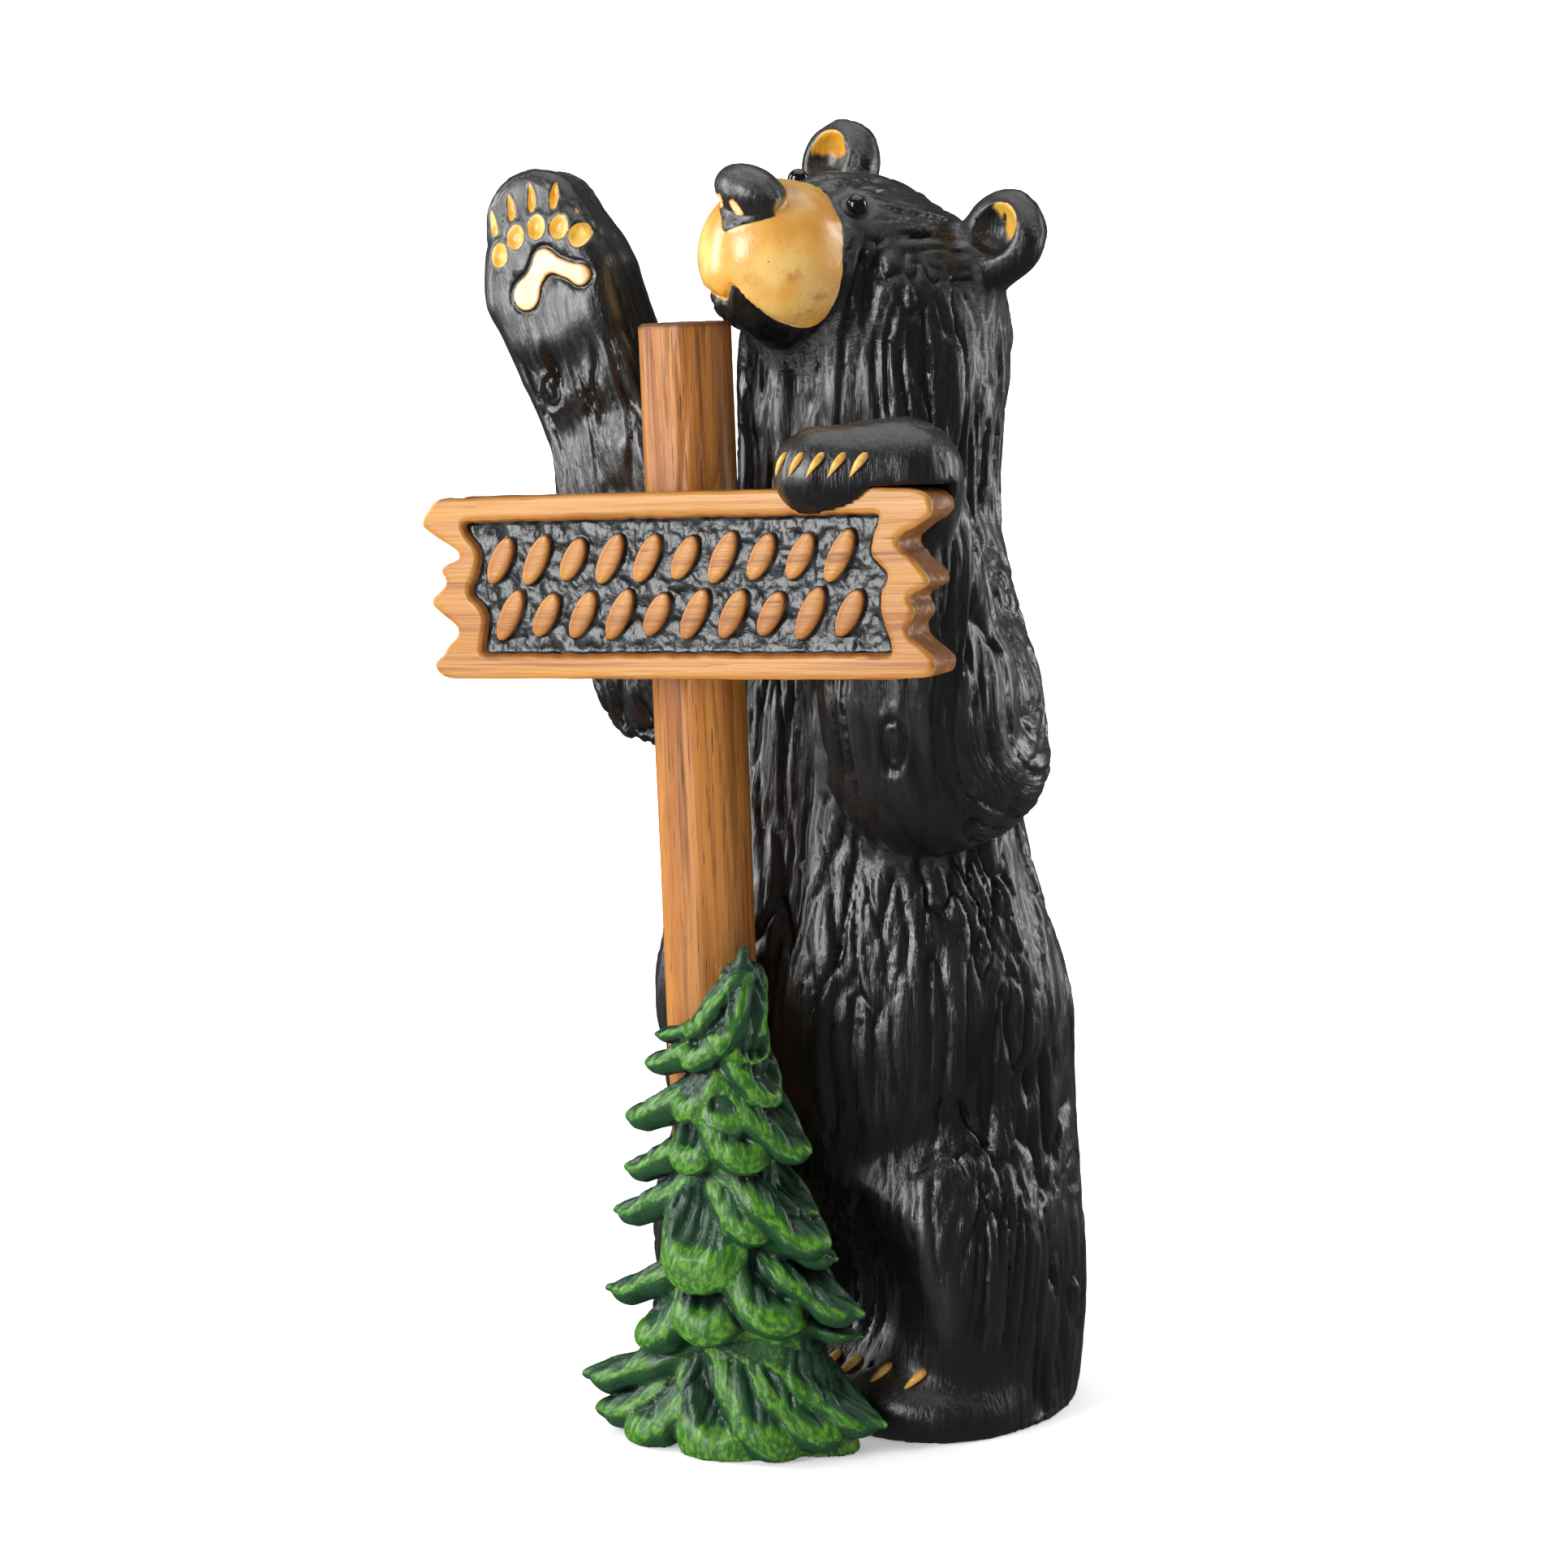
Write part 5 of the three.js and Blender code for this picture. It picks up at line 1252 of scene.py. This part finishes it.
# The tree: rows of boughs as [sideways share of the width, height share, forward share, half width share of
# the width, rise of the root share of the height].
BOUGHS = [
    (-0.46, 0.085, 0.35, 0.085, 0.11), (-0.385, 0.03, 0.6, 0.085, 0.12), (-0.24, 0.02, 0.85, 0.1, 0.15),
    (0.035, 0.022, 0.95, 0.125, 0.21), (0.2, 0.04, 0.75, 0.11, 0.18), (0.33, 0.045, 0.45, 0.1, 0.16),
    (0.455, 0.055, 0.12, 0.085, 0.15),
    (-0.38, 0.27, 0.25, 0.07, 0.105), (-0.205, 0.215, 0.75, 0.09, 0.13), (0.0, 0.265, 1.0, 0.09, 0.15),
    (0.1, 0.35, 0.85, 0.064, 0.115), (0.225, 0.285, 0.8, 0.096, 0.16), (0.415, 0.28, 0.2, 0.077, 0.15),
    (0.34, 0.385, 0.05, 0.064, 0.1), (0.4, 0.235, 0.0, 0.05, 0.06),
    (-0.34, 0.435, 0.2, 0.07, 0.1), (-0.015, 0.385, 1.0, 0.11, 0.175), (0.15, 0.455, 0.75, 0.077, 0.13),
    (0.32, 0.425, 0.35, 0.09, 0.15), (0.285, 0.475, 0.05, 0.058, 0.08),
    (-0.29, 0.53, 0.25, 0.064, 0.09), (-0.04, 0.59, 0.9, 0.07, 0.105), (0.13, 0.605, 0.8, 0.083, 0.12),
    (0.27, 0.6, 0.15, 0.077, 0.13),
    (-0.265, 0.64, 0.3, 0.07, 0.08), (-0.045, 0.685, 0.85, 0.064, 0.1), (0.08, 0.665, 0.85, 0.07, 0.11),
    (0.175, 0.705, 0.2, 0.064, 0.1),
    (-0.215, 0.755, 0.35, 0.058, 0.06), (-0.055, 0.785, 0.8, 0.058, 0.07), (0.095, 0.77, 0.3, 0.058, 0.08),
    (-0.22, 0.81, 0.2, 0.038, 0.04), (-0.09, 0.835, 0.6, 0.05, 0.1), (0.0, 0.815, 0.8, 0.056, 0.12),
    (0.06, 0.815, 0.25, 0.046, 0.11),
]
BOUGH_FLAT = 0.6
# The core behind the boughs: height share, half width and half depth in shares of the tree's own.
TREE_CORE = [(-0.06, 0.4, 0.72), (0.1, 0.32, 0.7), (0.25, 0.255, 0.66), (0.45, 0.19, 0.55),
             (0.62, 0.14, 0.46), (0.76, 0.1, 0.36), (0.79, 0.084, 0.34), (0.82, 0.108, 0.42),
             (0.88, 0.068, 0.32), (0.94, 0.036, 0.17), (1.0, 0.01, 0.05)]


def tree_middle(share):
    return POST_FOOT[1] - POST_RADIUS * (0.1 + 1.1 * max(share, 0) ** 0.8)


def tree_axis(share):
    bend = max(share - 0.7, 0) / 0.3
    return POST_FOOT[0] + TREE_WIDTH * (0.055 - 0.03 * share + 0.105 * bend**0.9)


def bough_frames():
    """For each bough its path, radii and axes: along, across and outward."""
    frames = []
    for sideways, height, forward, wide, rise in BOUGHS:
        deep = TREE_DEPTH * 0.95 * (1 - 0.55 * height)

        def at(out, lift):
            share = height + rise * lift
            return np.array([tree_axis(share) + sideways * TREE_WIDTH * out,
                             tree_middle(height) - forward * deep * out**0.8, TREE_HEIGHT * share])

        w = wide * TREE_WIDTH * 1.22
        end = 0.12 + 0.4 * forward
        path = [at(0.15, 1.0), at(0.5, 0.5), at(0.8, 0.13), at(1.0, 0.11)]
        radii = [(1.5 - 0.8 * forward) * w, (1.15 - 0.15 * forward) * w, (0.64 + 0.36 * forward) * w, end * w]
        run = unit(path[-1] - path[0])
        level = np.array([run[0], run[1], 0.0])
        level = unit(level) if np.linalg.norm(level) > 0.05 else np.array([0.0, -1.0, 0.0])
        across = np.array([-level[1], level[0], 0.0])
        out = unit(np.cross(run, across))
        if out @ (level * 0.5 + np.array([0, -0.3, 1.0])) < 0:
            out = -out
        frames.append((path, radii, run, across, out, w))
    return frames


BOUGH_FRAMES = bough_frames()


def bough_distance(p, frame_of):
    path, radii, _, _, out, _ = frame_of
    best = None
    for a, b, start, end in zip(path, path[1:], radii, radii[1:]):
        along = b - a
        q = p - a
        t = np.clip(q @ along / (along @ along), 0, 1)
        off = q - t[:, None] * along
        off = off + (off @ out)[:, None] * out * (1 / BOUGH_FLAT - 1)
        d = (length(off) - start - (end - start) * t) * 0.7
        best = d if best is None else join(best, d, 4)
    return best


def dish_distance(p, frame_of):
    """The hollow on a bough's upper side."""
    path, _, run, across, out, w = frame_of
    centre = path[0] * 0.3 + path[2] * 0.7 + out * w * 0.9
    q = (p - centre) @ np.array([run, across, out]).T
    reach = np.linalg.norm(path[-1] - path[0])
    return ellipsoid(q, (0, 0, 0), (reach * 0.62, w * 0.84, w * 0.62))


def tree_form(p):
    core = []
    for share, wide, deep in TREE_CORE:
        middle = (TREE_HEIGHT * share, tree_axis(share), tree_middle(share))
        core.append(middle + (TREE_WIDTH * wide, TREE_DEPTH * deep))
    d = trunk(p, core)
    for frame_of in BOUGH_FRAMES:
        path, w = frame_of[0], frame_of[5]
        middle = (path[0] + path[-1]) / 2
        span = np.linalg.norm(path[-1] - path[0]) / 2 + w
        near = length(p - middle) < span + 8
        if near.any():
            e = bough_distance(p[near], frame_of)
            e = cut(e, dish_distance(p[near], frame_of), 1.5)
            d[near] = join(d[near], e, 1.6)
    return d


def tree_field(p):
    d = tree_form(p)
    d = np.maximum(d, p[:, 1] - TREE_BACK)
    d = np.maximum(d, -post_space(p))
    return np.maximum(d, 0.15 - p[:, 2])


def tree_lines(p, n):
    """Places along the nearest bough's own axes, how near its rim they are and how far they face outward."""
    best = np.full(len(p), 1e9)
    lines = p.copy()
    rim = np.zeros(len(p))
    outward = np.zeros(len(p))
    for number, frame_of in enumerate(BOUGH_FRAMES):
        path, radii, run, across, out, w = frame_of
        near = length(p - (path[0] + path[-1]) / 2) < np.linalg.norm(path[-1] - path[0]) / 2 + w + 10
        if not near.any():
            continue
        q = p[near] - path[0]
        reach = np.linalg.norm(path[-1] - path[0])
        d = bough_distance(p[near], frame_of)
        closer = d < best[near]
        index = np.nonzero(near)[0][closer]
        best[index] = d[closer]
        a, b, c = q[closer] @ run, q[closer] @ across, q[closer] @ out
        t = np.clip(a / reach, 0, 1.3)
        fan = b / (0.5 + 0.62 * t) + 0.12 * w * np.sin(2.2 * t + number)
        lines[index] = np.stack([fan + 37.0 * number, c, a], 1)
        width = np.interp(t, [0, 0.5, 0.85, 1.05], radii)
        rim[index] = np.maximum(smooth(0.66, 1.0, np.abs(b) / width), smooth(0.86, 1.06, t))
        outward[index] = n[index] @ out
    return lines, rim, outward


def make_tree(material):
    pitch = PITCH * 0.82
    low, high = np.array(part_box("pine_tree")) / MM
    xs = steps((low[0] - 6, pitch), high[0] + 6)
    ys = steps((low[1] - 6, pitch), high[1] + 3)
    zs = steps((-1.5, pitch), high[2] + 4)
    points, quads = surface(tree_field, (xs, ys, zs))
    points, normal = settled(tree_field, points, 0.6)
    lines, rim, outward = tree_lines(points, normal)
    bent = lines[:, 0] / 6.6 + 0.75 * noise(lines / (13, 30, 20), 81)
    ridge = np.abs(np.sin(pi * bent)) ** 0.75
    small = noise(lines / (2.2, 4, 14), 82)
    upper = smooth(-0.15, 0.5, outward)
    height = (2.5 * ridge - 1.6 + 0.35 * small) * (0.25 + 0.75 * upper) * (1 - 0.8 * rim)
    height += 0.5 * rim * upper + 0.35 * noise(points / 8, 83)
    gap = np.minimum(post_space(points), TREE_BACK - points[:, 1])
    height *= smooth(0.05, 2.5, gap) * smooth(0, 3, points[:, 2])
    # How enclosed each place is, kept as "deep" and painted as shade in the hollows.
    hollow_shade = 1 - measured(tree_form, points + normal * 5) / 5
    moved = np.clip(points + normal * height[:, None], low - (4, -0.05, -0.05), high + (4, 0, 4))
    # Painted highlight, kept as "rim": strongest on bough rims and ridges, and on faces that turn upward.
    rim = np.clip((0.8 * rim + 0.6 * (ridge - 0.7) * (1 - rim)) * (0.2 + 0.8 * upper) + 0.05 * small, -1, 1.5)
    values = {"rim": rim, "deep": np.clip(hollow_shade, 0, 1.5), "lines": lines}
    made = mesh_object("tree_carving", moved, quads, values)
    thinned(made, TREE_TRIANGLES)
    return dress(made, "pine_tree", material)


# Camera, light and floor.
def make_camera():
    eye = Vector((0.6842, -1.4402, 0.4982))
    azimuth, dip = radians(27), radians(7.6)
    view = Vector((-sin(azimuth) * cos(dip), cos(azimuth) * cos(dip), -sin(dip)))
    data = bpy.data.cameras.new("camera")
    data.lens = 79.1
    data.sensor_width = 36
    made = bpy.data.objects.new("camera", data)
    made.location = eye
    made.rotation_euler = view.to_track_quat("-Z", "Y").to_euler()
    bpy.context.scene.collection.objects.link(made)
    bpy.context.scene.camera = made


def make_light(name, place, target, size, power):
    data = bpy.data.lights.new(name, "AREA")
    data.shape = "RECTANGLE"
    data.size, data.size_y = size
    data.energy = power
    made = bpy.data.objects.new(name, data)
    made.location = place
    made.rotation_euler = (Vector(target) - Vector(place)).to_track_quat("-Z", "Y").to_euler()
    bpy.context.scene.collection.objects.link(made)


def make_studio():
    profile = [(-3.0, 0), (1.2, 0), (1.7, 0.06), (2.05, 0.28), (2.25, 0.7), (2.3, 3.2)]
    run = np.array([(-1, y, z) for y, z in profile])
    right = run * (-1, 1, 1)
    wide = np.array([4.5, 1, 1])
    points = np.concatenate([run * wide, right * wide]) / MM
    faces = np.array([(i, i + 6, i + 7, i + 1) for i in range(5)])
    floor = mesh_object("studio_floor", points, faces)
    floor.data.materials.append(floor_look())
    floor.visible_glossy = False
    world = bpy.data.worlds.new("studio")
    world.use_nodes = True
    background = world.node_tree.nodes["Background"]
    background.inputs[0].default_value = (1, 1, 1, 1)
    background.inputs[1].default_value = 0.08
    bpy.context.scene.world = world
    middle = (0, -0.03, 0.32)
    make_light("key", (-0.95, -2.15, 0.95), middle, (0.9, 1.7), 48)
    make_light("left", (-1.9, -0.6, 0.9), middle, (0.35, 1.6), 22)
    make_light("side", (1.5, 1.3, 0.9), middle, (0.35, 1.5), 16)
    make_light("top", (0, 0.3, 2.6), (0, 0.3, 0), (2.6, 2.6), 26)
    bpy.context.scene.view_settings.view_transform = "Standard"


make_camera()
make_studio()
make_bear(bear_look())
make_claws(claw_look())
make_eyes(eye_look())
make_post(post_look())
make_sign(sign_look())
make_tree(tree_look())
